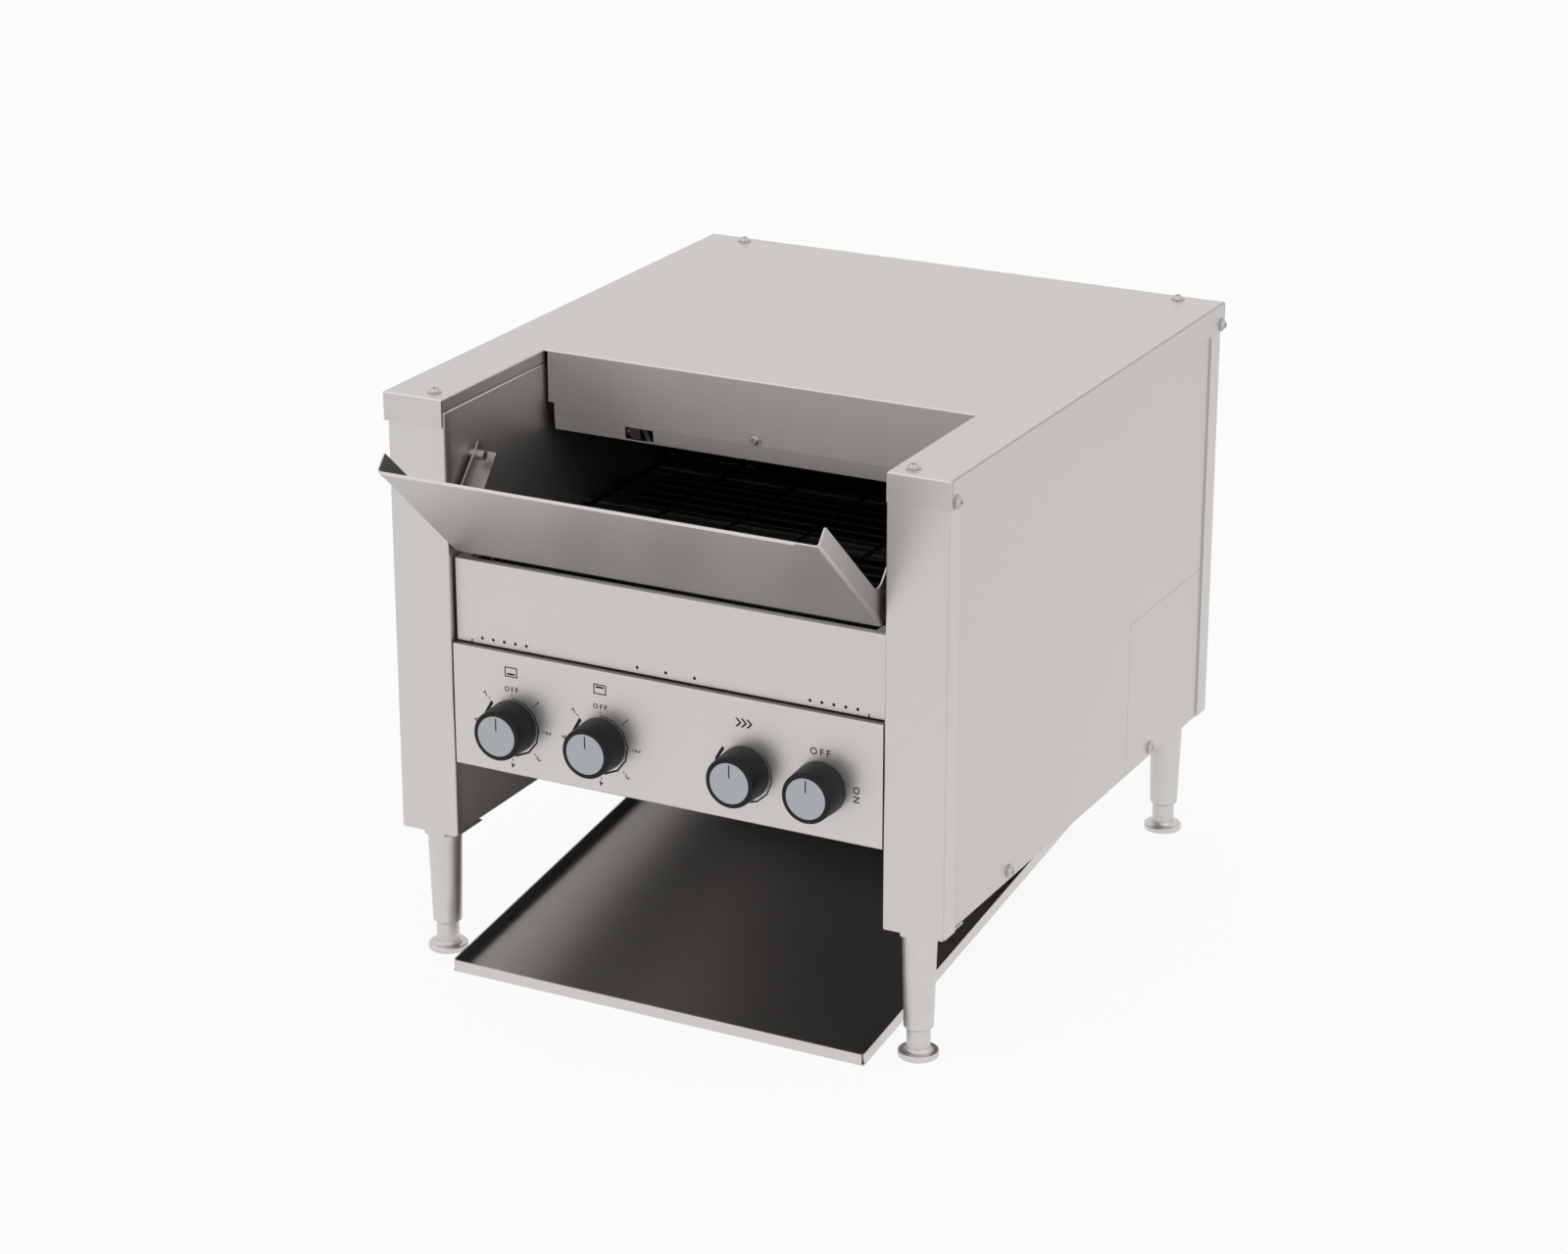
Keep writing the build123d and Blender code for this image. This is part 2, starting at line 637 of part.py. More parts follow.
def make_upper_front_panel():
    """Recessed front panel under the chute, with two groups of five vent holes and three between."""
    height = upper_panel_top_z - upper_panel_bottom_z
    with BuildPart() as panel:
        with BuildSketch(across(upper_panel_front)):
            with Locations((0, upper_panel_bottom_z + height / 2)):
                Rectangle(2 * upper_panel_half, height)
        extrude(amount=-sheet)
        with BuildSketch(Plane.XY.offset(upper_panel_top_z)):
            with BuildLine():
                half, step_x = upper_panel_half, upper_panel_half - upper_panel_tab
                lip_y = at(upper_panel_front + upper_panel_lip)
                tab_y = at(upper_panel_front + upper_panel_return)
                Polyline(
                    (-half, at(upper_panel_front)),
                    (half, at(upper_panel_front)),
                    (half, tab_y),
                    (step_x, tab_y),
                    (step_x, lip_y),
                    (-step_x, lip_y),
                    (-step_x, tab_y),
                    (-half, tab_y),
                    close=True,
                )
            make_face()
        extrude(amount=-sheet)
        with BuildSketch(Plane.XY.offset(upper_panel_bottom_z)):
            with Locations((0, at(upper_panel_front + upper_panel_return / 2))):
                Rectangle(2 * upper_panel_half, upper_panel_return)
        extrude(amount=sheet)
        fillet(panel.edges().filter_by(Axis.X).group_by(Axis.Y)[0].sort_by(Axis.Z)[-1], bend)
        hole_z = upper_panel_bottom_z + vent_hole_rise
        with BuildSketch(across(upper_panel_front)):
            for group_x in (-vent_group_x, vent_group_x):
                with Locations((group_x, hole_z)):
                    with GridLocations(vent_pitch, vent_pitch, vent_group, 1):
                        Circle(vent_hole_radius)
            with Locations((0, hole_z)):
                with GridLocations(vent_middle_pitch, vent_middle_pitch, vent_middle, 1):
                    Circle(vent_hole_radius)
        extrude(amount=2 * sheet, both=True, mode=Mode.SUBTRACT)
        slit_x = upper_panel_half - upper_panel_slit_inset
        for side in (-1, 1):
            with Locations((side * slit_x, at(upper_panel_front), upper_panel_bottom_z)):
                Box(sheet, 4 * sheet, 4 * sheet, mode=Mode.SUBTRACT)
    return panel


def make_control_panel():
    """Control panel with return flanges at the top and bottom and a hole for each control."""
    height = control_panel_top_z - control_panel_bottom_z
    with BuildPart() as panel:
        with BuildSketch(Plane.YZ) as profile:
            with Locations((at(control_panel_front + sheet / 2), control_panel_bottom_z + height / 2)):
                Rectangle(sheet, height)
            for z in (control_panel_bottom_z + sheet / 2, control_panel_top_z - sheet / 2):
                with Locations((at(control_panel_front + control_flange / 2), z)):
                    Rectangle(control_flange, sheet)
            for z in (control_panel_bottom_z, control_panel_top_z):
                fillet(profile.vertices().sort_by_distance((at(control_panel_front), z))[0], bend)
        extrude(amount=control_panel_half, both=True)
        with BuildSketch(across(control_panel_front)):
            for x in knob_x.values():
                with Locations((x, knob_z)):
                    Circle(bushing_radius + 2 * screw_fit)
        extrude(amount=2 * sheet, both=True, mode=Mode.SUBTRACT)
    return panel


def make_control_box_floor():
    """Floor and back wall of the control compartment, vented under the fan."""
    with BuildPart() as floor:
        with BuildSketch(Plane.XY.offset(floor_z)):
            with Locations((0, at(between(floor_front, control_floor_depth)))):
                Rectangle(2 * control_panel_half, control_floor_depth - floor_front)
            with Locations((0, at(between(post_back, control_floor_depth)))):
                Rectangle(2 * wall_x, control_floor_depth - post_back)
            with Locations((fan_x, at(fan_depth))):
                with PolarLocations(fan_vent_ring, fan_vents):
                    Circle(fan_vent_radius, mode=Mode.SUBTRACT)
        extrude(amount=sheet)
        with BuildSketch(Plane.XY.offset(floor_z)):
            with Locations((0, at(control_floor_depth - sheet / 2))):
                Rectangle(2 * wall_x, sheet)
        extrude(amount=shield_z - floor_z)
        with BuildSketch(Plane.XY.offset(floor_z)):
            for side in (-1, 1):
                with Locations((side * (wall_x - sheet / 2), at(between(post_back, control_floor_depth)))):
                    Rectangle(sheet, control_floor_depth - post_back)
        extrude(amount=floor_upstand)
    return floor


def make_heat_shield():
    """Shield between the toasting chamber and the control compartment, turned down at the back."""
    with BuildPart() as shield:
        with BuildSketch(Plane.YZ) as profile:
            with Locations((at(between(post_back, shield_depth)), shield_z + sheet / 2)):
                Rectangle(shield_depth - post_back, sheet)
            with Locations((at(shield_depth - sheet / 2), shield_z + sheet - shield_drop / 2)):
                Rectangle(sheet, shield_drop)
            fillet(profile.vertices().sort_by_distance((at(shield_depth), shield_z + sheet))[0], bend)
        extrude(amount=wall_x, both=True)
        with BuildSketch(Plane.XY.offset(shield_z)):
            with Locations((0, at(between(shield_front, post_back)))):
                Rectangle(2 * upper_panel_half, post_back - shield_front)
        extrude(amount=sheet)
    return shield


def make_lower_reflector():
    """Tray inside the belt loop that throws the lower heaters' heat upwards."""
    with BuildPart() as tray:
        with BuildSketch(Plane.YZ) as profile:
            with Locations((at(between(*lower_tray_depths)), lower_tray_z + sheet / 2)):
                Rectangle(lower_tray_depths[1] - lower_tray_depths[0], sheet)
            for edge in lower_tray_depths:
                inward = 1 if edge == lower_tray_depths[0] else -1
                with Locations((at(edge + inward * sheet / 2), lower_tray_z + lower_tray_rise / 2)):
                    Rectangle(sheet, lower_tray_rise)
                fillet(profile.vertices().sort_by_distance((at(edge), lower_tray_z))[0], bend)
        extrude(amount=wall_x, both=True)
    return tray


def make_upper_reflector():
    """Hood over the upper heaters, fixed to the header flange and both inner walls."""
    first, last = throat_depth + sheet, hood_back
    with BuildPart() as hood:
        with BuildSketch(Plane.YZ) as profile:
            with Locations((at(between(first, last)), hood_z - sheet / 2)):
                Rectangle(last - first, sheet)
            with Locations((at(first + sheet / 2), hood_z - hood_front_drop / 2)):
                Rectangle(sheet, hood_front_drop)
            with Locations((at(last - sheet / 2), hood_z - hood_back_drop / 2)):
                Rectangle(sheet, hood_back_drop)
            for edge in (first, last):
                fillet(profile.vertices().sort_by_distance((at(edge), hood_z))[0], bend)
        extrude(amount=wall_x, both=True)
        with Locations((0, at(throat_depth), header_screw_z)):
            Cylinder(screw_radius + screw_fit, 6 * sheet, rotation=(90, 0, 0), mode=Mode.SUBTRACT)
    return hood


def make_rear_deflector():
    """Curved sheet inside the back panel that turns the falling toast towards the front."""
    back = deflector_back
    with BuildPart() as deflector:
        with BuildSketch(Plane.YZ):
            with BuildLine():
                fall = Line((at(back), deflector_top_z), (at(back), deflector_bend_z))
                turn = CenterArc(
                    (at(back - deflector_radius), deflector_bend_z),
                    deflector_radius,
                    0,
                    -deflector_turn,
                )
                run = Line(turn @ 1, turn @ 1 + (turn % 1) * deflector_run)
                offset(amount=sheet, side=Side.LEFT)
            make_face()
        extrude(amount=wall_x, both=True)
    return deflector


def make_slide_runners():
    """Two small angles on the inner walls that the slide's ears hang on."""
    first = slide_ear_depths[0] - slide_travel - sheet
    last = wall_back - 2 * sheet
    with BuildPart() as runners:
        for side in (-1, 1):
            with BuildSketch(across(first)) as profile:
                with Locations((side * (wall_x - sheet / 2), runner_z + runner_height / 2)):
                    Rectangle(sheet, runner_height)
                with Locations((side * (wall_x - runner_width / 2), runner_z + sheet / 2)):
                    Rectangle(runner_width, sheet)
            extrude(amount=-(last - first))
    return runners


# ---------------------------------------------------------------- heaters
def make_heater_tubes():
    """Six quartz tubes across the tunnel: three under the belt's upper run, three above it."""
    places = [(depth, lower_heater_z) for depth in lower_heater_depths]
    places += [(depth, upper_heater_z) for depth in upper_heater_depths]
    with BuildPart() as tubes:
        for depth, z in places:
            with Locations((0, at(depth), z)):
                Cylinder(heater_radius, 2 * heater_reach, rotation=(0, 90, 0))
    return tubes


def make_heater_end_caps():
    """Ceramic caps in the inner walls that hold the ends of the heater tubes."""
    places = [(depth, lower_heater_z) for depth in lower_heater_depths]
    places += [(depth, upper_heater_z) for depth in upper_heater_depths]
    neck = heater_radius + sheet + heater_cap_fit
    bore = heater_radius + heater_cap_fit
    with BuildPart() as caps:
        for side in (-1, 1):
            for depth, z in places:
                start = Plane(origin=(side * (wall_x - sheet), at(depth), z), z_dir=(side, 0, 0))
                with BuildSketch(start):
                    Circle(neck)
                    Circle(bore, mode=Mode.SUBTRACT)
                extrude(amount=2 * sheet)
                with BuildSketch(start.offset(2 * sheet)):
                    Circle(heater_cap_radius)
                    Circle(bore, mode=Mode.SUBTRACT)
                extrude(amount=heater_reach - wall_x)
                with BuildSketch(start.offset(heater_reach - wall_x + 2 * sheet)):
                    Circle(heater_cap_radius)
                extrude(amount=2 * sheet)
    return caps


# ---------------------------------------------------------------- conveyor
def belt_path(offset_by=0.0):
    """Corner points of the belt's loop in depth and height, each end stepping round its sprocket."""
    step = 360 / sprocket_teeth
    top, bottom = 90, 270  # angles at which the loop meets the idler and the driven sprockets
    radius = sprocket_pitch_radius
    grow = 1 + offset_by / (radius * cos(radians(step / 2)))
    ends = []
    for centre, start in ((idler_depth, top), (drive_depth, bottom)):
        for k in range(sprocket_teeth // 2 + 1):
            angle = radians(start + k * step)
            ends.append((centre + radius * grow * cos(angle), shaft_z + radius * grow * sin(angle)))
    return ends


def make_conveyor_belt():
    """Wire belt: a cross rod at every pitch, strung on flat link strands."""
    with BuildPart() as belt:
        for x in belt_strand_x:
            with BuildSketch(Plane.YZ.offset(x)):
                with BuildLine():
                    Polyline([(at(d), z) for d, z in belt_path(belt_strand_height / 2)], close=True)
                make_face()
                with BuildLine():
                    Polyline([(at(d), z) for d, z in belt_path(-belt_strand_height / 2)], close=True)
                make_face(mode=Mode.SUBTRACT)
            extrude(amount=belt_strand_width / 2, both=True)
        rods = belt_path()
        for k in range(1, belt_runs):
            depth = idler_depth + k * belt_pitch
            rods.append((depth, shaft_z + sprocket_pitch_radius))
            rods.append((depth, shaft_z - sprocket_pitch_radius))
        with BuildSketch(Plane.YZ.offset(-belt_half)):
            with Locations([(at(depth), z) for depth, z in rods]):
                RegularPolygon(belt_rod_radius, belt_rod_sides)
        extrude(amount=2 * belt_half)
    return belt


def toothed_disc(centre, x, width, teeth, pitch, seat_radius, bore, phase=0.0):
    """Add a sprocket to the open part: a disc with a round seat for each rod or roller."""
    depth, z = centre
    pitch_radius = pitch / (2 * sin(radians(180 / teeth)))
    with BuildSketch(Plane.YZ.offset(x - width / 2)) as disc:
        with Locations((at(depth), z)):
            Circle(pitch_radius + seat_radius * tooth_rise)
            with PolarLocations(pitch_radius, teeth, start_angle=phase):
                Circle(seat_radius, mode=Mode.SUBTRACT)
            Circle(bore, mode=Mode.SUBTRACT)
    extrude(disc.sketch, amount=width)


def make_belt_sprockets(depth, with_chain_sprocket):
    """Belt sprockets of one shaft, with the chain sprocket at its right end on the driven shaft."""
    seat = belt_rod_radius + rod_seat_gap
    bore = shaft_radius + shaft_fit
    with BuildPart() as sprockets:
        for x in sprocket_x:
            toothed_disc((depth, shaft_z), x, sprocket_width, sprocket_teeth, belt_pitch, seat, bore)
            with BuildSketch(Plane.YZ.offset(x - sprocket_width)):
                with Locations((at(depth), shaft_z)):
                    Circle(sprocket_hub_radius)
                    Circle(bore, mode=Mode.SUBTRACT)
            extrude(amount=2 * sprocket_width)
        if with_chain_sprocket:
            seat = chain_roller_radius + chain_seat_gap
            width = chain_sprocket_width
            toothed_disc((depth, shaft_z), chain_x, width, shaft_teeth, chain_pitch, seat, bore, chain_lean)
    return sprockets


def make_shaft(depth, right_end):
    """Plain shaft through both inner walls."""
    left_end = -(wall_out + bearing_length - sheet)
    with BuildPart() as shaft:
        with BuildSketch(Plane.YZ.offset(left_end)):
            with Locations((at(depth), shaft_z)):
                Circle(shaft_radius)
        extrude(amount=right_end - left_end)
        chamfer(shaft.edges().filter_by(GeomType.CIRCLE), sheet / 2)
    return shaft


def make_shaft_bearings():
    """Flanged bushes in the inner walls, one at each end of both shafts."""
    bore = shaft_radius + shaft_fit
    with BuildPart() as bearings:
        for side in (-1, 1):
            for depth in (idler_depth, drive_depth):
                seat = Plane(origin=(side * wall_x, at(depth), shaft_z), z_dir=(side, 0, 0))
                with BuildSketch(seat):
                    Circle(bearing_flange_radius)
                    Circle(bore, mode=Mode.SUBTRACT)
                extrude(amount=-bearing_flange)
                with BuildSketch(seat):
                    Circle(bearing_radius)
                    Circle(bore, mode=Mode.SUBTRACT)
                extrude(amount=bearing_length)
    return bearings


def chain_ends():
    """For each chain sprocket: its centre, pitch radius, middle angle of the wrap, tooth step and wrap."""
    large = chain_pitch / (2 * sin(radians(180 / shaft_teeth)))
    small = chain_pitch / (2 * sin(radians(180 / motor_teeth)))
    spread = degrees(asin((large - small) / chain_run.length))
    return (
        (Vector(at(drive_depth), shaft_z), large, chain_lean, 360 / shaft_teeth, 90 + spread),
        (Vector(at(motor_depth), motor_z), small, chain_lean + 180, 360 / motor_teeth, 90 - spread),
    )


def chain_rollers():
    """Centres of the chain's rollers: one in each tooth gap of both wraps, and evenly spaced between."""
    places = []
    leaving = []
    for centre, radius, middle, step, wrap in chain_ends():
        seated = round(wrap / step)
        wrapped = []
        for k in range(-seated, seated + 1):
            angle = radians(middle + k * step)
            wrapped.append(centre + Vector(cos(angle), sin(angle)) * radius)
        places += wrapped
        leaving.append((wrapped[0], wrapped[-1]))
    for start, end in ((leaving[0][1], leaving[1][0]), (leaving[0][0], leaving[1][1])):
        steps = round((end - start).length / chain_pitch)
        places += [start + (end - start) * (k / steps) for k in range(1, steps)]
    return [(place.X, place.Y) for place in places]


def make_drive_chain():
    """Roller chain: two rows of side plates with a roller at every pitch."""
    with BuildPart() as chain:
        for x in (chain_x - chain_gap / 2 - chain_plate, chain_x + chain_gap / 2):
            with BuildSketch(Plane.YZ.offset(x)):
                for centre, radius, *_ in chain_ends():
                    with Locations(centre):
                        Circle(radius + chain_plate_height / 2)
                make_hull()
            with BuildSketch(Plane.YZ.offset(x), mode=Mode.PRIVATE) as inside:
                for centre, radius, *_ in chain_ends():
                    with Locations(centre):
                        Circle(radius - chain_plate_height / 2)
                make_hull()
            extrude(amount=chain_plate)
            extrude(inside.sketch, amount=chain_plate, mode=Mode.SUBTRACT)
        with BuildSketch(Plane.YZ.offset(chain_x - chain_gap / 2)):
            with Locations(chain_rollers()):
                RegularPolygon(chain_roller_radius, chain_roller_sides)
        extrude(amount=chain_gap)
    return chain


def make_gearmotor():
    """Gearmotor on the inside of the right inner wall: gearbox, motor can and the output boss."""
    with BuildPart() as motor:
        with BuildSketch(Plane.YZ.offset(wall_x - gearbox_width)):
            with Locations((at(motor_depth), motor_z)):
                RectangleRounded(gearbox_depth, gearbox_height, gearbox_corner)
        extrude(amount=gearbox_width)
        with BuildSketch(Plane.YZ.offset(wall_x - gearbox_width)):
            with Locations((at(motor_depth), motor_z)):
                Circle(motor_radius)
        extrude(amount=-motor_length)
        fillet(motor.faces().sort_by(Axis.X)[0].edges(), motor_edge)
        with BuildSketch(Plane.YZ.offset(wall_x)):
            with Locations((at(motor_depth), motor_z)):
                Circle(motor_boss_radius)
        extrude(amount=sheet)
        cut_round_x(motor_depth, motor_z, motor_shaft_radius + shaft_fit, wall_out, 2 * motor_shaft_depth)
    return motor


def make_motor_sprocket():
    """Output shaft of the gearmotor with its chain sprocket."""
    start = wall_out - motor_shaft_depth + sheet
    end = chain_x + chain_sprocket_width
    with BuildPart() as sprocket:
        with BuildSketch(Plane.YZ.offset(start)):
            with Locations((at(motor_depth), motor_z)):
                Circle(motor_shaft_radius)
        extrude(amount=end - start)
        toothed_disc(
            (motor_depth, motor_z),
            chain_x,
            chain_sprocket_width,
            motor_teeth,
            chain_pitch,
            chain_roller_radius + chain_seat_gap,
            motor_shaft_radius / 2,
            chain_lean + 180,
        )
    return sprocket


# ---------------------------------------------------------------- control compartment
def make_fan_housing():
    """Square fan frame on the compartment floor, with a hub plate on four struts."""
    base = floor_z + sheet
    with BuildPart() as housing:
        with BuildSketch(Plane.XY.offset(base)):
            with Locations((fan_x, at(fan_depth))):
                RectangleRounded(fan_size, fan_size, fan_corner)
                Circle(fan_radius, mode=Mode.SUBTRACT)
        extrude(amount=fan_height)
        with BuildSketch(Plane.XY.offset(base + fan_height - 2 * sheet)):
            with Locations((fan_x, at(fan_depth))):
                Circle(fan_hub_radius)
                for turn in (45, 135):
                    Rectangle(2 * (fan_radius + fan_root), fan_strut, rotation=turn)
        extrude(amount=2 * sheet)
        with Locations((fan_x, at(fan_depth), base + fan_height - 2 * sheet)):
            Cylinder(fan_pin_radius + shaft_fit, 2 * sheet, mode=Mode.SUBTRACT)
    return housing


def make_fan_rotor():
    """Fan hub with seven slanted blades on a pin."""
    base = floor_z + sheet
    hub_z = base + 2 * sheet
    hub_height = fan_height - 5 * sheet
    with BuildPart() as rotor:
        with Locations((fan_x, at(fan_depth), hub_z)):
            Cylinder(fan_hub_radius, hub_height, align=(Align.CENTER, Align.CENTER, Align.MIN))
            Cylinder(
                fan_pin_radius,
                hub_height + 1.5 * sheet,
                align=(Align.CENTER, Align.CENTER, Align.MIN),
            )
        blade_span = fan_radius - fan_hub_radius
        for k in range(fan_blades):
            blade_centre = Plane((fan_x, at(fan_depth), hub_z + hub_height / 2))
            spoke = blade_centre.rotated((0, 0, k * 360 / fan_blades))
            section = Plane(origin=spoke.origin, x_dir=spoke.y_dir, z_dir=spoke.x_dir)
            with BuildSketch(section.offset(fan_hub_radius - fan_root)):
                Rectangle(fan_blade_chord, sheet, rotation=fan_blade_angle)
            extrude(amount=blade_span)
    return rotor


def make_control(x, body_size, body_depth):
    """Body of a rotary control behind the panel, with the threaded bushing for its spindle."""
    start = control_panel_front + sheet
    with BuildPart() as control:
        with BuildSketch(across(start)):
            with Locations((x, knob_z)):
                RectangleRounded(body_size, body_size, switch_corner)
        extrude(amount=-body_depth)
        with BuildSketch(across(start)):
            with Locations((x, knob_z)):
                Circle(bushing_radius)
        extrude(amount=bushing_length)
        with BuildSketch(across(start - bushing_length)):
            with Locations((x, knob_z)):
                Circle(spindle_radius + spindle_fit)
        extrude(amount=-(bushing_length + spindle_socket), mode=Mode.SUBTRACT)
    return control


def make_speed_control(x):
    """Round speed control with its bushing and a row of terminals."""
    start = control_panel_front + sheet
    with BuildPart() as control:
        with BuildSketch(across(start)):
            with Locations((x, knob_z)):
                Circle(speed_can_radius)
        extrude(amount=-speed_can_depth)
        with BuildSketch(across(start)):
            with Locations((x, knob_z)):
                Circle(bushing_radius)
        extrude(amount=bushing_length)
        with BuildSketch(across(start - bushing_length)):
            with Locations((x, knob_z)):
                Circle(spindle_radius + spindle_fit)
        extrude(amount=-(bushing_length + spindle_socket), mode=Mode.SUBTRACT)
        with BuildSketch(across(start + sheet)):
            with Locations((x, knob_z - speed_can_radius - lug_size[1] / 3)):
                with GridLocations(lug_pitch, lug_pitch, lugs, 1):
                    Rectangle(*lug_size)
        extrude(amount=-sheet)
    return control


def make_spindle(x):
    """Turning spindle of a control, with the flat that drives the knob."""
    first = knob_back - knob_socket + sheet
    last = control_panel_front + sheet + spindle_socket - sheet
    with BuildPart() as spindle:
        with BuildSketch(across(first)):
            with Locations((x, knob_z)):
                Circle(spindle_radius)
        extrude(amount=-(last - first))
        with Locations((x, at(first), knob_z + spindle_radius)):
            Box(2 * spindle_radius, 2 * (knob_socket - 4 * sheet), spindle_radius, mode=Mode.SUBTRACT)
    return spindle


def make_knob(x):
    """Knob: a slightly tapered skirt with a rolled front rim and a recess for the cap."""
    length = knob_length
    with BuildPart() as knob:
        with BuildSketch(Plane.XY):
            with BuildLine():
                Polyline(
                    (0, 0),
                    (knob_base_radius, 0),
                    (knob_base_radius - knob_foot_step, knob_foot),
                    (knob_radius + knob_shoulder_step, length - knob_shoulder),
                    (knob_radius, length - knob_rim),
                    (knob_radius - knob_rim, length),
                    (cap_radius + cap_gap + cap_bevel, length),
                    (cap_radius + cap_gap, length - cap_thickness),
                    (0, length - cap_thickness),
                    close=True,
                )
            make_face()
        revolve(axis=Axis.Y)
        with Locations((0, knob_socket / 2, 0)):
            Cylinder(spindle_radius + spindle_fit, knob_socket, rotation=(90, 0, 0), mode=Mode.SUBTRACT)
    return turned_to_panel(knob, x)


def turned_to_panel(piece, x):
    """Turn a piece that was made along +Y so that it faces the user, and set it on the panel."""
    with BuildPart() as placed:
        with Locations(Location((x, at(knob_back), knob_z), (180, 0, 0))):
            add(piece.part)
    return placed


def make_knob_cap(x):
    """Metal disc in the face of a knob, with a fine pointer groove."""
    with BuildPart() as cap:
        with Locations((0, knob_length - cap_thickness / 2, 0)):
            Cylinder(cap_radius, cap_thickness, rotation=(90, 0, 0))
        with Locations((0, knob_length, -cap_radius + pointer_inset + pointer_length / 2)):
            Box(pointer_width, 2 * pointer_depth, pointer_length, mode=Mode.SUBTRACT)
    return turned_to_panel(cap, x)


def make_terminal_block():
    """Terminal block for the supply on the outside of the left inner wall, with three wire troughs."""
    with BuildPart() as block:
        with Locations((-wall_out, at(terminal_depth), gland_z)):
            sides = (Align.MAX, Align.CENTER, Align.CENTER)
            Box(terminal_height, terminal_length, terminal_width, align=sides)
        for k in (-1, 0, 1):
            with Locations((-wall_out - terminal_height, at(terminal_depth + k * terminal_pitch), gland_z)):
                Box(terminal_height, *trough_size, mode=Mode.SUBTRACT)
    return block


def make_cord_gland():
    """Bushing in the back panel where a supply cable would enter."""
    with BuildPart() as gland:
        with BuildSketch(across(panel_back + gland_reach)):
            with Locations((gland_x, gland_z)):
                RegularPolygon(gland_flange_radius, 6)
                Circle(gland_bore_radius, mode=Mode.SUBTRACT)
        extrude(amount=gland_reach)
        with BuildSketch(across(panel_back)):
            with Locations((gland_x, gland_z)):
                Circle(gland_body_radius)
                Circle(gland_bore_radius, mode=Mode.SUBTRACT)
        extrude(amount=sheet)
        with BuildSketch(across(panel_back - sheet)):
            with Locations((gland_x, gland_z)):
                Circle(gland_nut_radius)
                Circle(gland_bore_radius, mode=Mode.SUBTRACT)
        extrude(amount=4 * sheet)
        chamfer(gland.faces().sort_by(Axis.Y)[-1].outer_wire().edges(), gland_chamfer)
    return gland


def make_limit_probe():
    """Bulb of the high-limit thermostat behind the header's window, with its strap."""
    header_z = cover_top_z - header_drop
    with BuildPart() as probe:
        with BuildSketch(Plane.YZ.offset(probe_window_x - probe_length)):
            with Locations((at(probe_depth), header_z - header_strip / 2)):
                Circle(probe_radius)
        extrude(amount=probe_length)
        with BuildSketch(Plane.YZ.offset(probe_window_x - sheet)):
            with Locations((at(probe_depth), header_z - header_strip / 2)):
                Circle(probe_radius - sheet)
        extrude(amount=sheet, mode=Mode.SUBTRACT)
        # strap hanging from the hood's front flange
        with BuildSketch(across(probe_depth - probe_radius)):
            with Locations((probe_window_x - probe_radius, header_z)):
                Rectangle(2 * probe_radius, 2 * probe_radius + header_strip)
        extrude(amount=-sheet)
        with BuildSketch(across(probe_depth - probe_radius)):
            with BuildLine():
                Polyline(
                    (probe_window_x, header_z + sheet),
                    (probe_window_x + probe_radius, header_z + sheet),
                    (probe_window_x + 2.4 * probe_radius, header_z - header_strip + sheet),
                    (probe_window_x + 1.4 * probe_radius, header_z - header_strip + sheet),
                    close=True,
                )
            make_face()
        extrude(amount=-sheet)
    return probe


# ---------------------------------------------------------------- fasteners
def make_pan_screw():
    """One pan-head screw with its washer, seated on the origin and pointing down."""
    with BuildPart() as screw:
        with BuildSketch():
            Circle(screw_washer_radius)
        extrude(amount=screw_washer)
        with BuildSketch(Plane.XY.offset(screw_washer)):
            Circle(screw_head_radius)
        extrude(amount=screw_head, taper=screw_head_taper)
        with BuildSketch():
            Circle(screw_radius)
        extrude(amount=-screw_length)
        with BuildSketch(Plane.XY.offset(screw_washer + screw_head)):
            Rectangle(screw_cross_width, screw_cross)
            Rectangle(screw_cross, screw_cross_width)
        extrude(amount=-screw_cross_depth, mode=Mode.SUBTRACT)
    return screw


def make_casing_screws():
    """Pan-head screws of the casing: four on top, four high and four low on the sides, one in front."""
    seats = [Plane(origin=(0, at(throat_depth), header_screw_z), z_dir=(0, -1, 0))]
    for side in (-1, 1):
        for depth in cover_screw_depths:
            seats.append(Plane((side * cover_screw_x, at(depth), cover_top_z)))
        for depth in side_screw_depths:
            seats.append(Plane(origin=(side * cover_half, at(depth), side_screw_z), z_dir=(side, 0, 0)))
        for depth in base_screw_depths:
            seats.append(Plane(origin=(side * side_outer, at(depth), base_screw_z), z_dir=(side, 0, 0)))
    screw = make_pan_screw()
    with BuildPart() as screws:
        with Locations(*seats):
            add(screw.part)
    return screws


def make_chute_pivot_screws():
    """Shoulder screws that carry the chute, and the two studs that it rests on."""
    reach = chute_half_width - sheet
    with BuildPart() as screws:
        for side in (-1, 1):
            seat = Plane(origin=(side * wall_x, at(pivot_depth), pivot_z), z_dir=(side, 0, 0))
            with BuildSketch(seat.offset(-(wall_x - reach + pivot_tail))):
                Circle(pivot_radius)
            extrude(amount=wall_x - reach + pivot_tail + sheet)
            with BuildSketch(seat.offset(sheet)):
                RegularPolygon(pivot_head_radius, 6)
            extrude(amount=2 * sheet)
            with BuildSketch(seat.offset(-(wall_x - reach + pivot_tail))):
                RegularPolygon(pivot_socket_radius, 6)
            extrude(amount=3 * sheet, mode=Mode.SUBTRACT)
            stop = Plane(origin=(side * wall_x, at(stop_depth), stop_centre_z), z_dir=(side, 0, 0))
            with BuildSketch(stop.offset(sheet)):
                Circle(stop_radius)
            extrude(amount=-(wall_x - reach + 2 * sheet))
            with BuildSketch(stop.offset(sheet)):
                Circle(stop_head_radius)
            extrude(amount=sheet)
    return screws


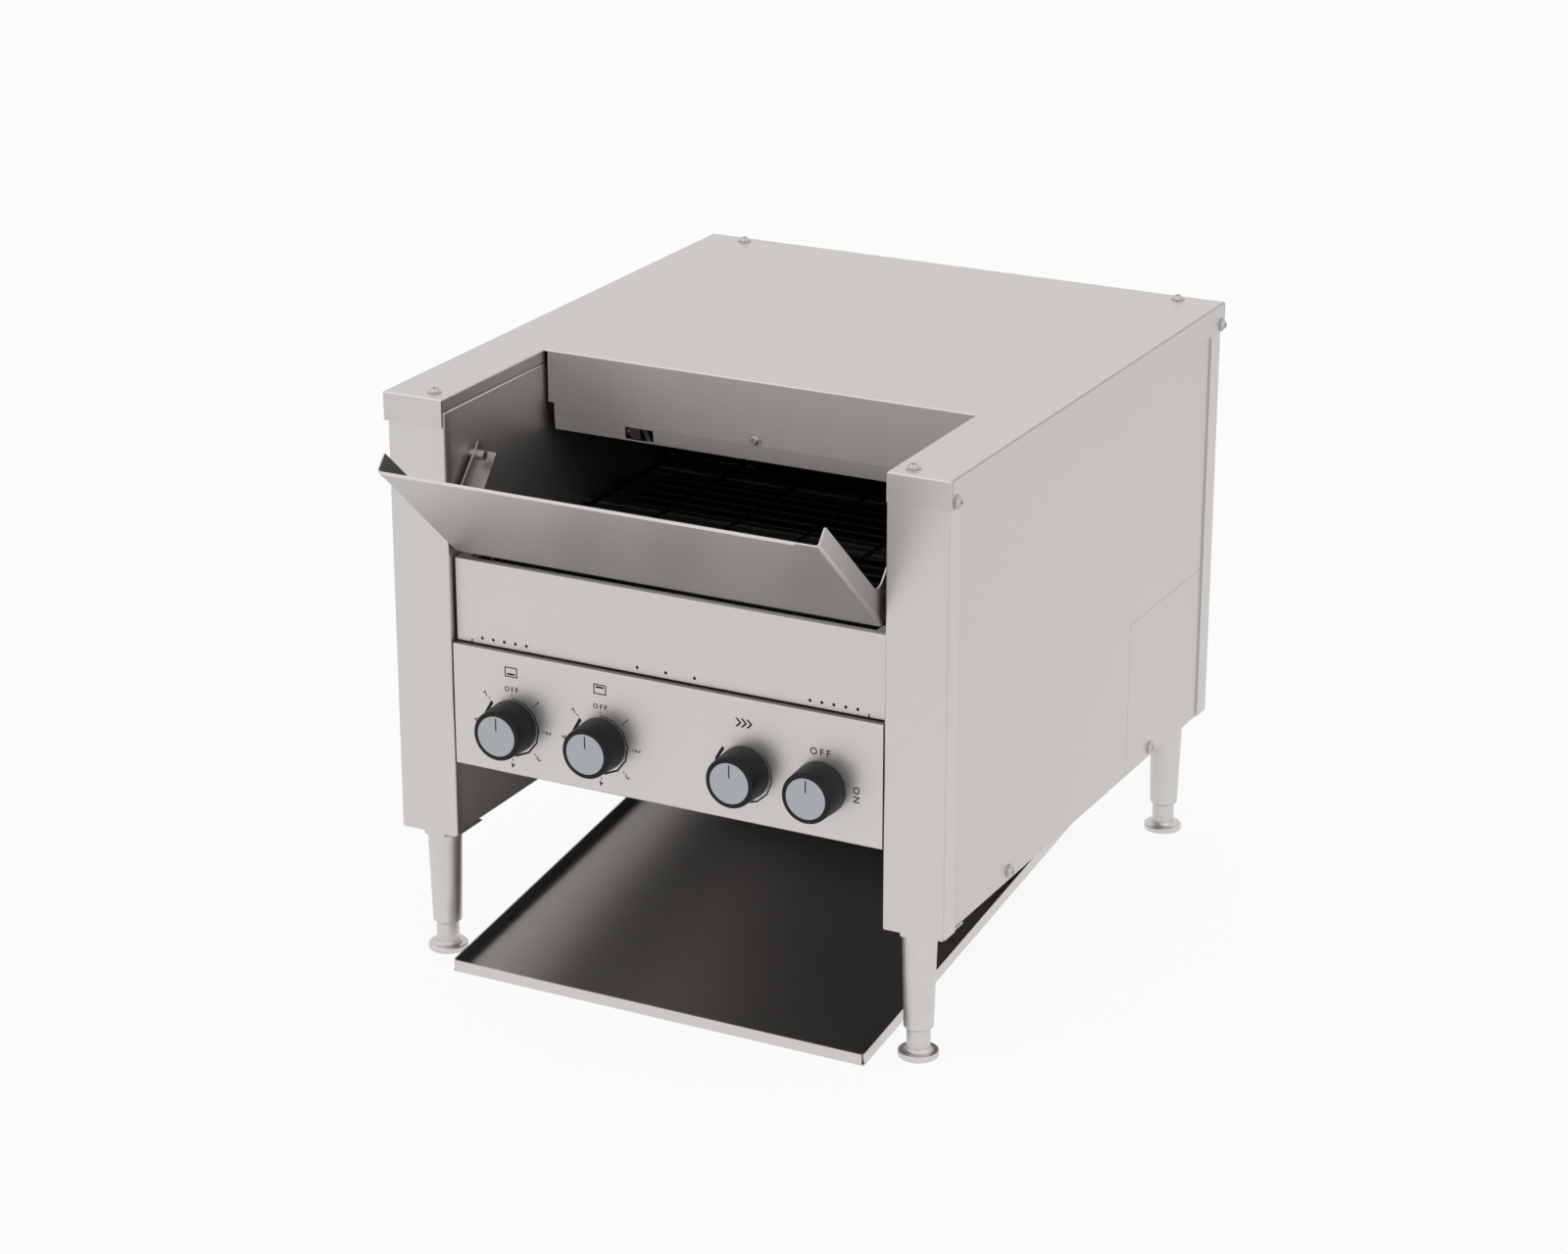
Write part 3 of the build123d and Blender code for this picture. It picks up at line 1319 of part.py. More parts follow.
# ---------------------------------------------------------------- legs and feet
def make_legs():
    """Four legs: a hexagon under the base plate, a long cone, a bore for the foot and a stud on top."""
    cone_top = base_z - leg_hex_height
    with BuildPart() as legs:
        for side in (-1, 1):
            for depth in leg_depths:
                place = (side * leg_x, at(depth))
                with BuildSketch(Plane.XY.offset(cone_top)):
                    with Locations(place):
                        RegularPolygon(leg_hex / 2, 6, major_radius=False)
                extrude(amount=leg_hex_height)
                with BuildSketch(Plane((*place, 0), x_dir=(1, 0, 0), z_dir=(0, -1, 0))):
                    with BuildLine():
                        Polyline(
                            (0, leg_bottom_z),
                            (leg_bottom_radius - leg_chamfer, leg_bottom_z),
                            (leg_bottom_radius, leg_bottom_z + leg_chamfer),
                            (leg_top_radius, cone_top),
                            (0, cone_top),
                            close=True,
                        )
                    make_face()
                revolve(axis=Axis((*place, 0), (0, 0, 1)))
                with Locations((*place, base_z)):
                    Cylinder(leg_stud_radius, leg_stud_height, align=(Align.CENTER, Align.CENTER, Align.MIN))
                with Locations((*place, leg_bottom_z)):
                    Cylinder(
                        foot_stem_radius + foot_fit,
                        foot_stem_top_z - leg_bottom_z + foot_bore_spare,
                        align=(Align.CENTER, Align.CENTER, Align.MIN),
                        mode=Mode.SUBTRACT,
                    )
    return legs


def make_foot(side, depth):
    """Screw-in foot: a round flange, a short flare and a plain stem in the leg."""
    flare = foot_flare
    with BuildPart() as foot:
        with BuildSketch(Plane((side * leg_x, at(depth), 0), x_dir=(1, 0, 0), z_dir=(0, -1, 0))):
            with BuildLine():
                Polyline(
                    (0, 0),
                    (foot_radius - foot_edge, 0),
                    (foot_radius, foot_edge),
                    (foot_radius, foot_flange - foot_edge),
                    (foot_radius - foot_edge, foot_flange),
                    (foot_stem_radius + flare, foot_flange),
                    (foot_stem_radius + flare / 3, foot_flange + flare / 3),
                    (foot_stem_radius, foot_flange + 1.2 * flare),
                    (foot_stem_radius, foot_stem_top_z),
                    (0, foot_stem_top_z),
                    close=True,
                )
            make_face()
        revolve(axis=Axis((side * leg_x, at(depth), 0), (0, 0, 1)))
    return foot


# ---------------------------------------------------------------- chute and slide
def make_feed_chute():
    """Folded feed chute: a ramp with a hemmed edge, two wings and two arms that hang on the pivots."""
    low, tip, wing_tip, valley, arm_end, arm_heel = chute_points()
    shift = Vector(front, 0)
    ramp_up = (wing_tip - tip).normalized()
    heel_in = Vector(-(arm_heel - low).Y, (arm_heel - low).X).normalized()
    flange_foot = low + (arm_heel - low) * chute_flange_start
    ramp_middle = (low + tip) * 0.5 + shift
    fold_inner = ramp_middle + ramp_up * sheet

    def outline(*points):
        """Closed outline through points given in depth and height."""
        Polyline(*[tuple(p + shift)[:2] for p in points], close=True)

    with BuildPart() as chute:
        with BuildSketch(Plane.YZ):
            with BuildLine():
                outline(low, tip, tip + ramp_up * sheet, low + ramp_up * sheet)
            make_face()
        extrude(amount=chute_half_width, both=True)
        for side in (-1, 1):
            with BuildSketch(Plane.YZ.offset(side * chute_half_width)) as wing:
                with BuildLine():
                    outline(low, tip, wing_tip, valley, arm_end, arm_heel)
                make_face()
                fillet(wing.vertices().sort_by_distance(tuple(valley + shift)[:2])[0], chute_valley_radius)
                for corner in (wing_tip, arm_end):
                    rounded = wing.vertices().sort_by_distance(tuple(corner + shift)[:2])[0]
                    fillet(rounded, chute_corner_radius)
            extrude(amount=-side * sheet)
            outer_edge = (side * chute_half_width, ramp_middle.X, ramp_middle.Y)
            fillet(chute.edges().sort_by_distance(outer_edge)[0], chute_fold)
            inner_edge = (side * (chute_half_width - sheet), fold_inner.X, fold_inner.Y)
            fillet(chute.edges().sort_by_distance(inner_edge)[0], chute_fold - sheet)
            with BuildSketch(Plane.YZ.offset(side * (chute_half_width - sheet))):
                with BuildLine():
                    outline(flange_foot, arm_heel, arm_heel + heel_in * sheet, flange_foot + heel_in * sheet)
                make_face()
            extrude(amount=-side * chute_arm_flange)
            cut_round_x(pivot_depth, pivot_z, pivot_radius + pivot_fit, side * chute_half_width, 4 * sheet)
        # hem on the outside of the top edge, stopping short of the right end
        hem_end = tip + (low - tip).normalized() * chute_hem
        with BuildSketch(Plane.YZ.offset(-chute_half_width + hem_inset)):
            with BuildLine():
                outline(tip, hem_end, hem_end - ramp_up * sheet, tip - ramp_up * sheet)
            make_face()
        extrude(amount=2 * chute_half_width - hem_inset - hem_short)
    return chute


def make_discharge_slide():
    """Toast slide: a tray on the table under the body, with lips and two ears that hang on the runners."""
    lean = Vector(cos(radians(slide_angle)), sin(radians(slide_angle)))
    rise = Vector(-sin(radians(slide_angle)), cos(radians(slide_angle)))
    length = (slide_back - slide_front) / cos(radians(slide_angle))
    start = Vector(at(slide_front), 0)

    def band(height, first=0.0, last=length):
        """Corners of a band along the tray, from its underside up."""
        corners = ((first, 0), (last, 0), (last, height), (first, height))
        return [tuple(start + lean * s + rise * h)[:2] for s, h in corners]

    with BuildPart() as tray:
        with BuildSketch(Plane.YZ):
            with BuildLine():
                Polyline(*band(sheet), close=True)
            make_face()
        extrude(amount=slide_half_width, both=True)
        for first, last in ((0, sheet), (length - sheet, length)):
            with BuildSketch(Plane.YZ):
                with BuildLine():
                    Polyline(*band(slide_lip, first, last), close=True)
                make_face()
            extrude(amount=slide_half_width - sheet - corner_slit, both=True)
        for side in (-1, 1):
            with BuildSketch(Plane.YZ.offset(side * slide_half_width)):
                with BuildLine():
                    Polyline(*band(slide_lip, sheet + corner_slit), close=True)
                make_face()
            extrude(amount=-side * sheet)
            ear_top = runner_z + sheet + runner_gap + sheet
            first, last = slide_ear_depths
            with BuildSketch(Plane.YZ.offset(side * slide_half_width)):
                with BuildLine():
                    Polyline(
                        (at(first), ear_top),
                        (at(last), ear_top),
                        (at(last), (last - slide_front) * tan(radians(slide_angle)) + sheet),
                        (at(first), (first - slide_front) * tan(radians(slide_angle)) + sheet),
                        close=True,
                    )
                make_face()
            extrude(amount=-side * sheet)
            with BuildSketch(Plane.XY.offset(ear_top)):
                with Locations((side * (slide_half_width + ear_lip / 2), at(between(first, last)))):
                    Rectangle(ear_lip, last - first)
            extrude(amount=-sheet)
    return tray


def main():
    """Build every piece and write its file."""
    os.makedirs("parts", exist_ok=True)
    save(make_top_cover(), "top_cover")
    for side, name in ((-1, "left"), (1, "right")):
        save(make_front_post(side), f"{name}_front_post")
        save(make_side_panel(side), f"{name}_side_panel")
        save(make_inner_wall(side), f"{name}_inner_wall")
    save(make_service_panel(), "service_panel")
    save(make_back_panel(), "back_panel")
    save(make_rear_leg_brackets(), "rear_leg_brackets")
    save(make_upper_front_panel(), "upper_front_panel")
    save(make_control_panel(), "control_panel")
    save(make_control_box_floor(), "control_box_floor")
    save(make_heat_shield(), "heat_shield")
    save(make_lower_reflector(), "lower_reflector")
    save(make_upper_reflector(), "upper_reflector")
    save(make_rear_deflector(), "rear_deflector")
    save(make_slide_runners(), "slide_runners")
    save(make_heater_tubes(), "heater_tubes")
    save(make_heater_end_caps(), "heater_end_caps")
    save(make_conveyor_belt(), "conveyor_belt")
    save(make_belt_sprockets(idler_depth, False), "idler_sprockets")
    save(make_belt_sprockets(drive_depth, True), "drive_sprockets")
    save(make_shaft(idler_depth, wall_out + bearing_length - sheet), "idler_shaft")
    save(make_shaft(drive_depth, chain_x + 2 * chain_sprocket_width), "drive_shaft")
    save(make_shaft_bearings(), "shaft_bearings")
    save(make_drive_chain(), "drive_chain")
    save(make_gearmotor(), "gearmotor")
    save(make_motor_sprocket(), "motor_sprocket")
    save(make_fan_housing(), "fan_housing")
    save(make_fan_rotor(), "fan_rotor")
    save(make_control(knob_x["bottom_heat"], *heat_switch_size), "bottom_heat_control")
    save(make_control(knob_x["top_heat"], *heat_switch_size), "top_heat_control")
    save(make_speed_control(knob_x["speed"]), "speed_control")
    save(make_control(knob_x["power"], *power_switch_size), "power_switch")
    for name, x in knob_x.items():
        save(make_spindle(x), f"{name}_spindle")
        save(make_knob(x), f"{name}_knob")
        save(make_knob_cap(x), f"{name}_knob_cap")
    save(make_terminal_block(), "terminal_block")
    save(make_cord_gland(), "cord_gland")
    save(make_limit_probe(), "limit_probe")
    save(make_casing_screws(), "casing_screws")
    save(make_chute_pivot_screws(), "chute_pivot_screws")
    save(make_legs(), "legs")
    for side, name in ((-1, "left"), (1, "right")):
        for depth, end in zip(leg_depths, ("front", "rear")):
            save(make_foot(side, depth), f"{end}_{name}_foot")
    save(make_feed_chute(), "feed_chute")
    save(make_discharge_slide(), "discharge_slide")


main()
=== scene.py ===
"""Finishes, dial marks, knobs and studio for a counter-top conveyor toaster.

The metal body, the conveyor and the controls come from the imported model, in metres, with Z up and
the user on the -Y side. This script gives every one of those parts its finish, models the turned
knobs and the printed dial marks, and sets up the floor, the lights and the camera.
"""

import math

import bmesh
import bpy
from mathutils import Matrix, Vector


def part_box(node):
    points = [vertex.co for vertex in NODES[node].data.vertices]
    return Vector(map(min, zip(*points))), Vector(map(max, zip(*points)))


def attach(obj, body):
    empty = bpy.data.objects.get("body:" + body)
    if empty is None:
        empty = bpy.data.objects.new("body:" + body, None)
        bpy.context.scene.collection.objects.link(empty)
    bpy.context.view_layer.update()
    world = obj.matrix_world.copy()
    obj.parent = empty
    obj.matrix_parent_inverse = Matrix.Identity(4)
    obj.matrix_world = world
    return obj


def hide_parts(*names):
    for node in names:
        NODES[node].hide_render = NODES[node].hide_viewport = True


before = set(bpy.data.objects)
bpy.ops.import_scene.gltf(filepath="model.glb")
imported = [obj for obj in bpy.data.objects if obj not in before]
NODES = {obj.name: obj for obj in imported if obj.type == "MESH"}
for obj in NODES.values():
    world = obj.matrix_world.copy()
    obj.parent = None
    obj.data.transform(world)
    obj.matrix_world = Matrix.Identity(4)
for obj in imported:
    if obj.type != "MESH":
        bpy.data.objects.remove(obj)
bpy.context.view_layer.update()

bl_info = {
    "name": "Conveyor Toaster",
    "version": (1, 0, 0),
    "blender": (4, 5, 0),
    "location": "3D View > Sidebar > Toaster",
    "description": "Finishes, knobs, dial marks and studio for a counter-top conveyor toaster",
    "category": "Object",
}

MM = 0.001
QUARTER = math.pi / 2
DIALS = ("bottom_heat", "top_heat", "speed", "power")
HEAT_DIALS = ("bottom_heat", "top_heat")
COLOUR_MIX_INPUTS = (0, 6, 7)  # factor, first and second colour of a Mix node
COLOUR_MIX_OUTPUT = 2

# Where painted shade and a painted highlight lie on the sheet metal, measured inwards from a part's
# own box.
FRONT_SKIN = 1.4 * MM  # a front panel's face; what lies deeper is its inside
TOP_LIP = 0.8 * MM  # the strip along a front panel's top
POST_BEND = 0.9 * MM  # a front post's outer bend
POST_FLANGE = 18.2 * MM  # depth of a front post's flange up to its painted shade line
COVER_BEND = 1.1 * MM  # the cover's side bends
HEADER_STRIP = 11.8 * MM  # the strip with a painted highlight at the foot of the cover's header
EAR_LIP = 4.4 * MM  # how far the hanging ears of the slide reach past its rims
SIDE_RIM = 0.3 * MM  # the outer skin of the slide's side rims
FRONT_RIM = 2.4 * MM  # the slide's front rim

# Share of its own colour that the sheet keeps under each painted shade.
CHUTE_SHADE = 0.72
INSIDE_SHADE = 0.05
LIP_SHADE = 0.42
POST_EDGE_SHADE = 0.84
BEND_SHADE = 0.7
SLIDE_SHADE = 0.48
HEADER_HIGHLIGHT = (0.88, 0.85, 0.82)  # colour of the painted highlight in that strip

BRUSHED_LENGTH = 60  # length of a brushed line, in widths
COIL_PITCH = 3.2 * MM  # of the wire inside a heater tube
COIL_END = 165 * MM  # where the coil ends, from the middle of its tube
TUBE_CLEAR = 168 * MM  # where the tube's clear end begins
CAP_RINGS = 5200.0  # spun rings in a metre of a knob's cap
POINTER_HALF = 0.56 * MM  # half the width of the pointer on a cap
POINTER_START = 4.3 * MM
POINTER_END = 14.0 * MM

# Print, measured from the middle of its dial. Angles run clockwise from the top.
LAST_DIGIT = 7
DIAL_END = math.radians(315)
SPEED_START = math.radians(45)
BAND_STEP = math.radians(28)  # the straight steps of a band are about this wide
HEAT_OFF_RADIUS = 29.0 * MM
HEAT_OFF = {"height": 4.0 * MM, "weight": 0.09 * MM, "spread": 1.45}
OFF_TICK_RADIUS = 24.6 * MM
OFF_TICK = (0.7 * MM, 1.6 * MM)  # width and length
DIGIT = {"weight": 0.05 * MM, "stretch": 1.05}
DIGIT_TICK_RADIUS = 26.9 * MM
DIGIT_TICK = (0.7 * MM, 1.8 * MM)
POWER_OFF_RADIUS = 27.4 * MM
POWER_OFF = {"height": 5.4 * MM, "weight": 0.08 * MM, "spread": 1.45}
POWER_ON_RADIUS = 28.7 * MM
POWER_ON = {"height": 5.2 * MM, "weight": 0.08 * MM, "spread": 1.35}
HEAT_SIGN_RADIUS = 42.5 * MM
HEAT_SIGN = (10.6 * MM, 8.0 * MM, 0.9 * MM)  # width, height and line of the frame
HEAT_SIGN_BAR = (6.6 * MM, 1.5 * MM)
HEAT_SIGN_SHIFT = 1.6 * MM  # of the bar, from the middle of the frame
SPEED_SIGN_RADIUS = 38.0 * MM
ARROW = (6.8 * MM, 1.9 * MM)  # height and line of an arrow head
ARROW_PITCH = 4.4 * MM
PROUD = 0.8  # share of the print's thickness that stands off the panel
MERGED = 0.0005 * MM  # points of the print that are nearer than this become one

SAME_CIRCLE = 0.05 * MM  # how far an edge may be from the circle that it is looked for on
SMOOTHED = math.radians(35)  # a knob's edges that are sharper than this stay sharp
LAMP_AIM = (0.0, 0.0, 0.25)


# ---------------------------------------------------------------- settings


class FinishSettings(bpy.types.PropertyGroup):
    """Colours and grain of the surfaces."""

    steel: bpy.props.FloatVectorProperty(
        name="Steel",
        description="Colour of the satin stainless sheet",
        subtype="COLOR",
        default=(0.630, 0.605, 0.586),
        min=0.0,
        max=1.0,
    )
    steel_roughness: bpy.props.FloatProperty(
        name="Steel roughness",
        description="How far the satin sheet spreads a reflection",
        subtype="FACTOR",
        default=0.40,
        min=0.05,
        max=1.0,
    )
    grain_width: bpy.props.FloatProperty(
        name="Grain width",
        description="Width of one brushed line in the sheet",
        unit="LENGTH",
        default=0.5 * MM,
        min=0.05 * MM,
        max=5 * MM,
    )
    # Heat stain and painted shade: kept near black so that the tunnel reads dark.
    soot: bpy.props.FloatVectorProperty(
        name="Heat stain",
        description="Colour of the metal that the heaters have darkened",
        subtype="COLOR",
        default=(0.0075, 0.0072, 0.0070),
        min=0.0,
        max=1.0,
    )
    knob: bpy.props.FloatVectorProperty(
        name="Knob",
        description="Colour of the moulded knobs",
        subtype="COLOR",
        default=(0.0095, 0.0102, 0.0108),
        min=0.0,
        max=1.0,
    )
    cap: bpy.props.FloatVectorProperty(
        name="Knob cap",
        description="Colour of the disc in the face of a knob",
        subtype="COLOR",
        default=(0.405, 0.420, 0.447),
        min=0.0,
        max=1.0,
    )
    ink: bpy.props.FloatVectorProperty(
        name="Print",
        description="Colour of the printed dial marks",
        subtype="COLOR",
        default=(0.016, 0.0155, 0.015),
        min=0.0,
        max=1.0,
    )


class DialSettings(bpy.types.PropertyGroup):
    """Sizes of the knobs and of the print round them."""

    knob_sides: bpy.props.IntProperty(
        name="Knob sides",
        description="Number of sides round a knob",
        default=96,
        min=24,
        max=256,
    )
    knob_taper: bpy.props.FloatProperty(
        name="Knob taper",
        description="How much smaller the front of a knob is than its base, in radius",
        unit="LENGTH",
        default=1.1 * MM,
        min=0.0,
        max=3 * MM,
    )
    rim_round: bpy.props.FloatProperty(
        name="Rim rounding",
        description="Radius of the rounding at a knob's front edge",
        unit="LENGTH",
        default=1.3 * MM,
        min=0.2 * MM,
        max=2 * MM,
    )
    seat_gap: bpy.props.FloatProperty(
        name="Cap gap",
        description="Gap between a cap and the seat in its knob",
        unit="LENGTH",
        default=0.1 * MM,
        min=0.0,
        max=0.5 * MM,
    )
    ring_radius: bpy.props.FloatProperty(
        name="Ring radius",
        description="Inner radius of the printed band",
        unit="LENGTH",
        default=22.1 * MM,
        min=21 * MM,
        max=26 * MM,
    )
    band_thin: bpy.props.FloatProperty(
        name="Thin end",
        description="Width of the printed band at its low end",
        unit="LENGTH",
        default=0.5 * MM,
        min=0.1 * MM,
        max=3 * MM,
    )
    band_thick: bpy.props.FloatProperty(
        name="Thick end",
        description="Width of the printed band at its high end",
        unit="LENGTH",
        default=2.7 * MM,
        min=0.1 * MM,
        max=4 * MM,
    )
    digit_radius: bpy.props.FloatProperty(
        name="Digit radius",
        description="Distance from the middle of a dial to the middle of a digit",
        unit="LENGTH",
        default=31.0 * MM,
        min=26 * MM,
        max=40 * MM,
    )
    digit_height: bpy.props.FloatProperty(
        name="Digit height",
        description="Height of the digits",
        unit="LENGTH",
        default=4.3 * MM,
        min=1 * MM,
        max=8 * MM,
    )
    ink_thickness: bpy.props.FloatProperty(
        name="Ink thickness",
        description="Thickness of the print, most of which stands off the panel",
        unit="LENGTH",
        default=0.04 * MM,
        min=0.01 * MM,
        max=0.2 * MM,
    )


class StudioSettings(bpy.types.PropertyGroup):
    """Camera, lights and floor."""

    azimuth: bpy.props.FloatProperty(
        name="Azimuth",
        description="Turn of the camera round the toaster, from the front towards the right",
        subtype="ANGLE",
        default=math.radians(27.4),
    )
    elevation: bpy.props.FloatProperty(
        name="Elevation",
        description="Angle at which the camera looks down",
        subtype="ANGLE",
        default=math.radians(20.5),
    )
    distance: bpy.props.FloatProperty(
        name="Distance",
        description="Distance from the camera to the point that it looks at",
        unit="LENGTH",
        default=2.978,
        min=0.5,
        max=20.0,
    )
    aim: bpy.props.FloatVectorProperty(
        name="Aim",
        description="Point that the camera looks at",
        subtype="TRANSLATION",
        unit="LENGTH",
        default=(-0.0078, 0.0, 0.2311),
    )
    lens: bpy.props.FloatProperty(
        name="Lens",
        description="Focal length, in millimetres on a 36 mm sensor",
        default=89.55,
        min=10.0,
        max=300.0,
    )
    floor_size: bpy.props.FloatProperty(
        name="Floor size",
        description="Side of the pale floor",
        unit="LENGTH",
        default=14.0,
        min=2.0,
        max=50.0,
    )
    floor_shade: bpy.props.FloatVectorProperty(
        name="Floor shade",
        description="Colour that the floor takes the light with",
        subtype="COLOR",
        default=(0.80, 0.80, 0.80),
        min=0.0,
        max=1.0,
    )
    floor_glow: bpy.props.FloatVectorProperty(
        name="Floor glow",
        description="Colour that the floor shows by itself",
        subtype="COLOR",
        default=(0.985, 0.985, 0.985),
        min=0.0,
        max=1.0,
    )
    floor_evenness: bpy.props.FloatProperty(
        name="Floor evenness",
        description="Share of the floor's own colour over its shadows",
        subtype="FACTOR",
        default=0.93,
        min=0.0,
        max=1.0,
    )
    backdrop: bpy.props.FloatVectorProperty(
        name="Backdrop",
        description="Colour of the background",
        subtype="COLOR",
        default=(0.965, 0.965, 0.965),
        min=0.0,
        max=1.0,
    )
    surround: bpy.props.FloatProperty(
        name="Surround",
        description="Strength of the even light from all round",
        default=0.85,
        min=0.0,
        max=2.0,
    )


# ---------------------------------------------------------------- materials


class Value:
    """A number, colour or shader inside a node tree. Arithmetic on it adds Math nodes."""

    def __init__(self, nodes, socket):
        self.nodes = nodes
        self.socket = socket

    def combined(self, operation, *terms):
        return self.nodes.add("ShaderNodeMath", {"operation": operation}, dict(enumerate(terms)))

    def __add__(self, other):
        return self.combined("ADD", self, other)

    def __radd__(self, other):
        return self.combined("ADD", other, self)

    def __sub__(self, other):
        return self.combined("SUBTRACT", self, other)

    def __rsub__(self, other):
        return self.combined("SUBTRACT", other, self)

    def __mul__(self, other):
        return self.combined("MULTIPLY", self, other)

    def __rmul__(self, other):
        return self.combined("MULTIPLY", other, self)

    def __abs__(self):
        return self.combined("ABSOLUTE", self)

    def __gt__(self, other):
        return self.combined("GREATER_THAN", self, other)

    def __lt__(self, other):
        return self.combined("LESS_THAN", self, other)

    def sine(self):
        return self.combined("SINE", self)

    def or_more(self, other):
        """The larger of two values."""
        return self.combined("MAXIMUM", self, other)


class Nodes:
    """A node tree and the one method that adds to it."""

    def __init__(self, tree):
        self.tree = tree

    def feed(self, socket, value):
        """Link a socket to a value of this tree, or set it."""
        if isinstance(value, Value):
            self.tree.links.new(value.socket, socket)
        elif socket.type == "RGBA" and len(value) == 3:
            socket.default_value = (*value, 1.0)
        else:
            socket.default_value = value

    def add(self, kind, settings=None, inputs=None, output=0):
        """Add a node: its settings first, then its sockets."""
        node = self.tree.nodes.new(kind)
        for name, value in (settings or {}).items():
            setattr(node, name, value)
        for name, value in (inputs or {}).items():
            self.feed(node.inputs[name], value)
        return Value(self, node.outputs[output])

    def existing(self, name):
        """What a node that came with the tree puts out."""
        return Value(self, self.tree.nodes[name].outputs[0])

    def seen_directly(self):
        """1 for the rays that see the studio itself: from the camera, a gloss or a glass."""
        total = self.add("ShaderNodeLightPath", output="Is Camera Ray")
        for name in ("Is Glossy Ray", "Is Transmission Ray"):
            total = total.or_more(self.add("ShaderNodeLightPath", output=name))
        return total

    def show(self, output, factor, first, second):
        """End the tree in a mix of two shaders."""
        blend = self.add("ShaderNodeMixShader", {}, {0: factor, 1: first, 2: second})
        self.feed(self.tree.nodes[output].inputs["Surface"], blend)


class Paint(Nodes):
    """One material of the toaster."""

    def __init__(self, name, colour, roughness, metallic=0.0):
        self.material = bpy.data.materials.new(name)
        self.material.use_nodes = True
        super().__init__(self.material.node_tree)
        self.colour = tuple(colour)
        self.set("Base Color", self.colour)
        self.set("Roughness", roughness)
        self.set("Metallic", metallic)
        self.place = self.add("ShaderNodeTexCoord", output="Object")

    def along(self, axis, place=None):
        """The place on the piece along one axis."""
        return self.add("ShaderNodeSeparateXYZ", {}, {0: place or self.place}, axis)

    def stretched(self, scale, centre=(0.0, 0.0, 0.0)):
        """The place on the piece, centred and then scaled along each axis."""
        moved = self.add(
            "ShaderNodeVectorMath", {"operation": "SUBTRACT"}, {0: self.place, 1: centre}
        )
        return self.add("ShaderNodeMapping", {}, {"Vector": moved, "Scale": scale})

    def noise(self, scale, detail, place=None):
        """A cloudy value from 0 to 1."""
        sockets = {"Vector": place or self.place, "Scale": scale, "Detail": detail}
        return self.add("ShaderNodeTexNoise", {}, sockets)

    def ramp(self, value, low, high):
        """0 below low and 1 above high."""
        return self.add(
            "ShaderNodeMapRange",
            {"clamp": True},
            {"Value": value, "From Min": low, "From Max": high},
        )

    def mixed(self, factor, first, second):
        """A colour between two colours."""
        sockets = dict(zip(COLOUR_MIX_INPUTS, (factor, first, second)))
        return self.add("ShaderNodeMix", {"data_type": "RGBA"}, sockets, COLOUR_MIX_OUTPUT)

    def dimmed(self, share):
        """A share of the material's own colour."""
        return tuple(c * share for c in self.colour)

    def tinted(self, factor, low, high):
        """The material's own colour, times low where factor is 0 and times high where it is 1."""
        return self.mixed(factor, self.dimmed(low), self.dimmed(high))

    def set(self, name, value):
        """Feed one of the shader's own sockets."""
        self.feed(self.tree.nodes["Principled BSDF"].inputs[name], value)

    def bump(self, height, distance, strength):
        """Relief from a height value, in metres of distance."""
        sockets = {"Height": height, "Distance": distance, "Strength": strength}
        self.set("Normal", self.add("ShaderNodeBump", {}, sockets))


def satin_steel(name, along, finish, shade=1.0, roughness=None, marked=None):
    """Brushed stainless sheet with lines along one axis and faint smears; shade darkens the whole
    sheet as painted shade, and marked adds a part's own painted shade or highlight.
    """
    colour = [c * shade for c in finish.steel]
    rough = roughness or finish.steel_roughness
    paint = Paint(name, colour, rough, 1.0)
    fine = 1.0 / finish.grain_width
    scale = [fine / BRUSHED_LENGTH if axis == along else fine for axis in "xyz"]
    grain = paint.noise(1.0, 2.0, paint.stretched(scale))
    smear = paint.noise(9.0, 3.0)
    sheet = paint.tinted(grain * 0.6 + smear * 0.4, 0.96, 1.04)
    paint.set("Base Color", marked(paint, sheet) if marked else sheet)
    paint.set("Roughness", rough - 0.06 + grain * 0.06 + smear * 0.06)
    paint.bump(grain, 0.003 * MM, 0.5)
    return paint.material


def baked_steel(name, finish):
    """Sheet near the heaters: heat-stained and kept near black as painted shade of the dark tunnel,
    with dull brown patches where it stayed cooler.
    """
    paint = Paint(name, finish.soot, 0.6)
    paint.set("Specular IOR Level", 0.12)
    cloud = paint.noise(14.0, 5.0)
    cooler = paint.ramp(cloud, 0.55, 0.85)
    speck = paint.noise(900.0, 2.0)
    brown = (0.013, 0.011, 0.0095)
    paint.set("Base Color", paint.mixed(cooler, paint.tinted(speck, 0.8, 1.2), brown))
    paint.set("Roughness", 0.55 + cloud * 0.2)
    paint.bump(speck, 0.02 * MM, 0.4)
    return paint.material


def turned_metal(name, colour, roughness, pitch, axis):
    """Turned or drawn metal with fine rings along one axis."""
    paint = Paint(name, colour, roughness, 1.0)
    scale = [1.0 / pitch if a == axis else 30.0 for a in "xyz"]
    ring = paint.noise(1.0, 2.0, paint.stretched(scale))
    smear = paint.noise(60.0, 3.0)
    paint.set("Base Color", paint.tinted(ring * 0.5 + smear * 0.5, 0.86, 1.12))
    paint.set("Roughness", roughness - 0.06 + ring * 0.10 + smear * 0.08)
    paint.bump(ring, 0.01 * MM, 0.4)
    return paint.material


def moulded(name, colour, roughness, grit=0.35 * MM, depth=0.015 * MM, gloss=0.5):
    """Moulded plastic or paint with a fine spark-eroded texture and handling marks."""
    paint = Paint(name, colour, roughness)
    paint.set("Specular IOR Level", gloss)
    skin = paint.noise(1.0 / grit, 2.0)
    wear = paint.noise(70.0, 4.0)
    paint.set("Base Color", paint.tinted(skin * 0.5 + wear * 0.5, 0.78, 1.25))
    paint.set("Roughness", roughness - 0.08 + skin * 0.08 + wear * 0.10)
    paint.bump(skin, depth, 0.5)
    return paint.material


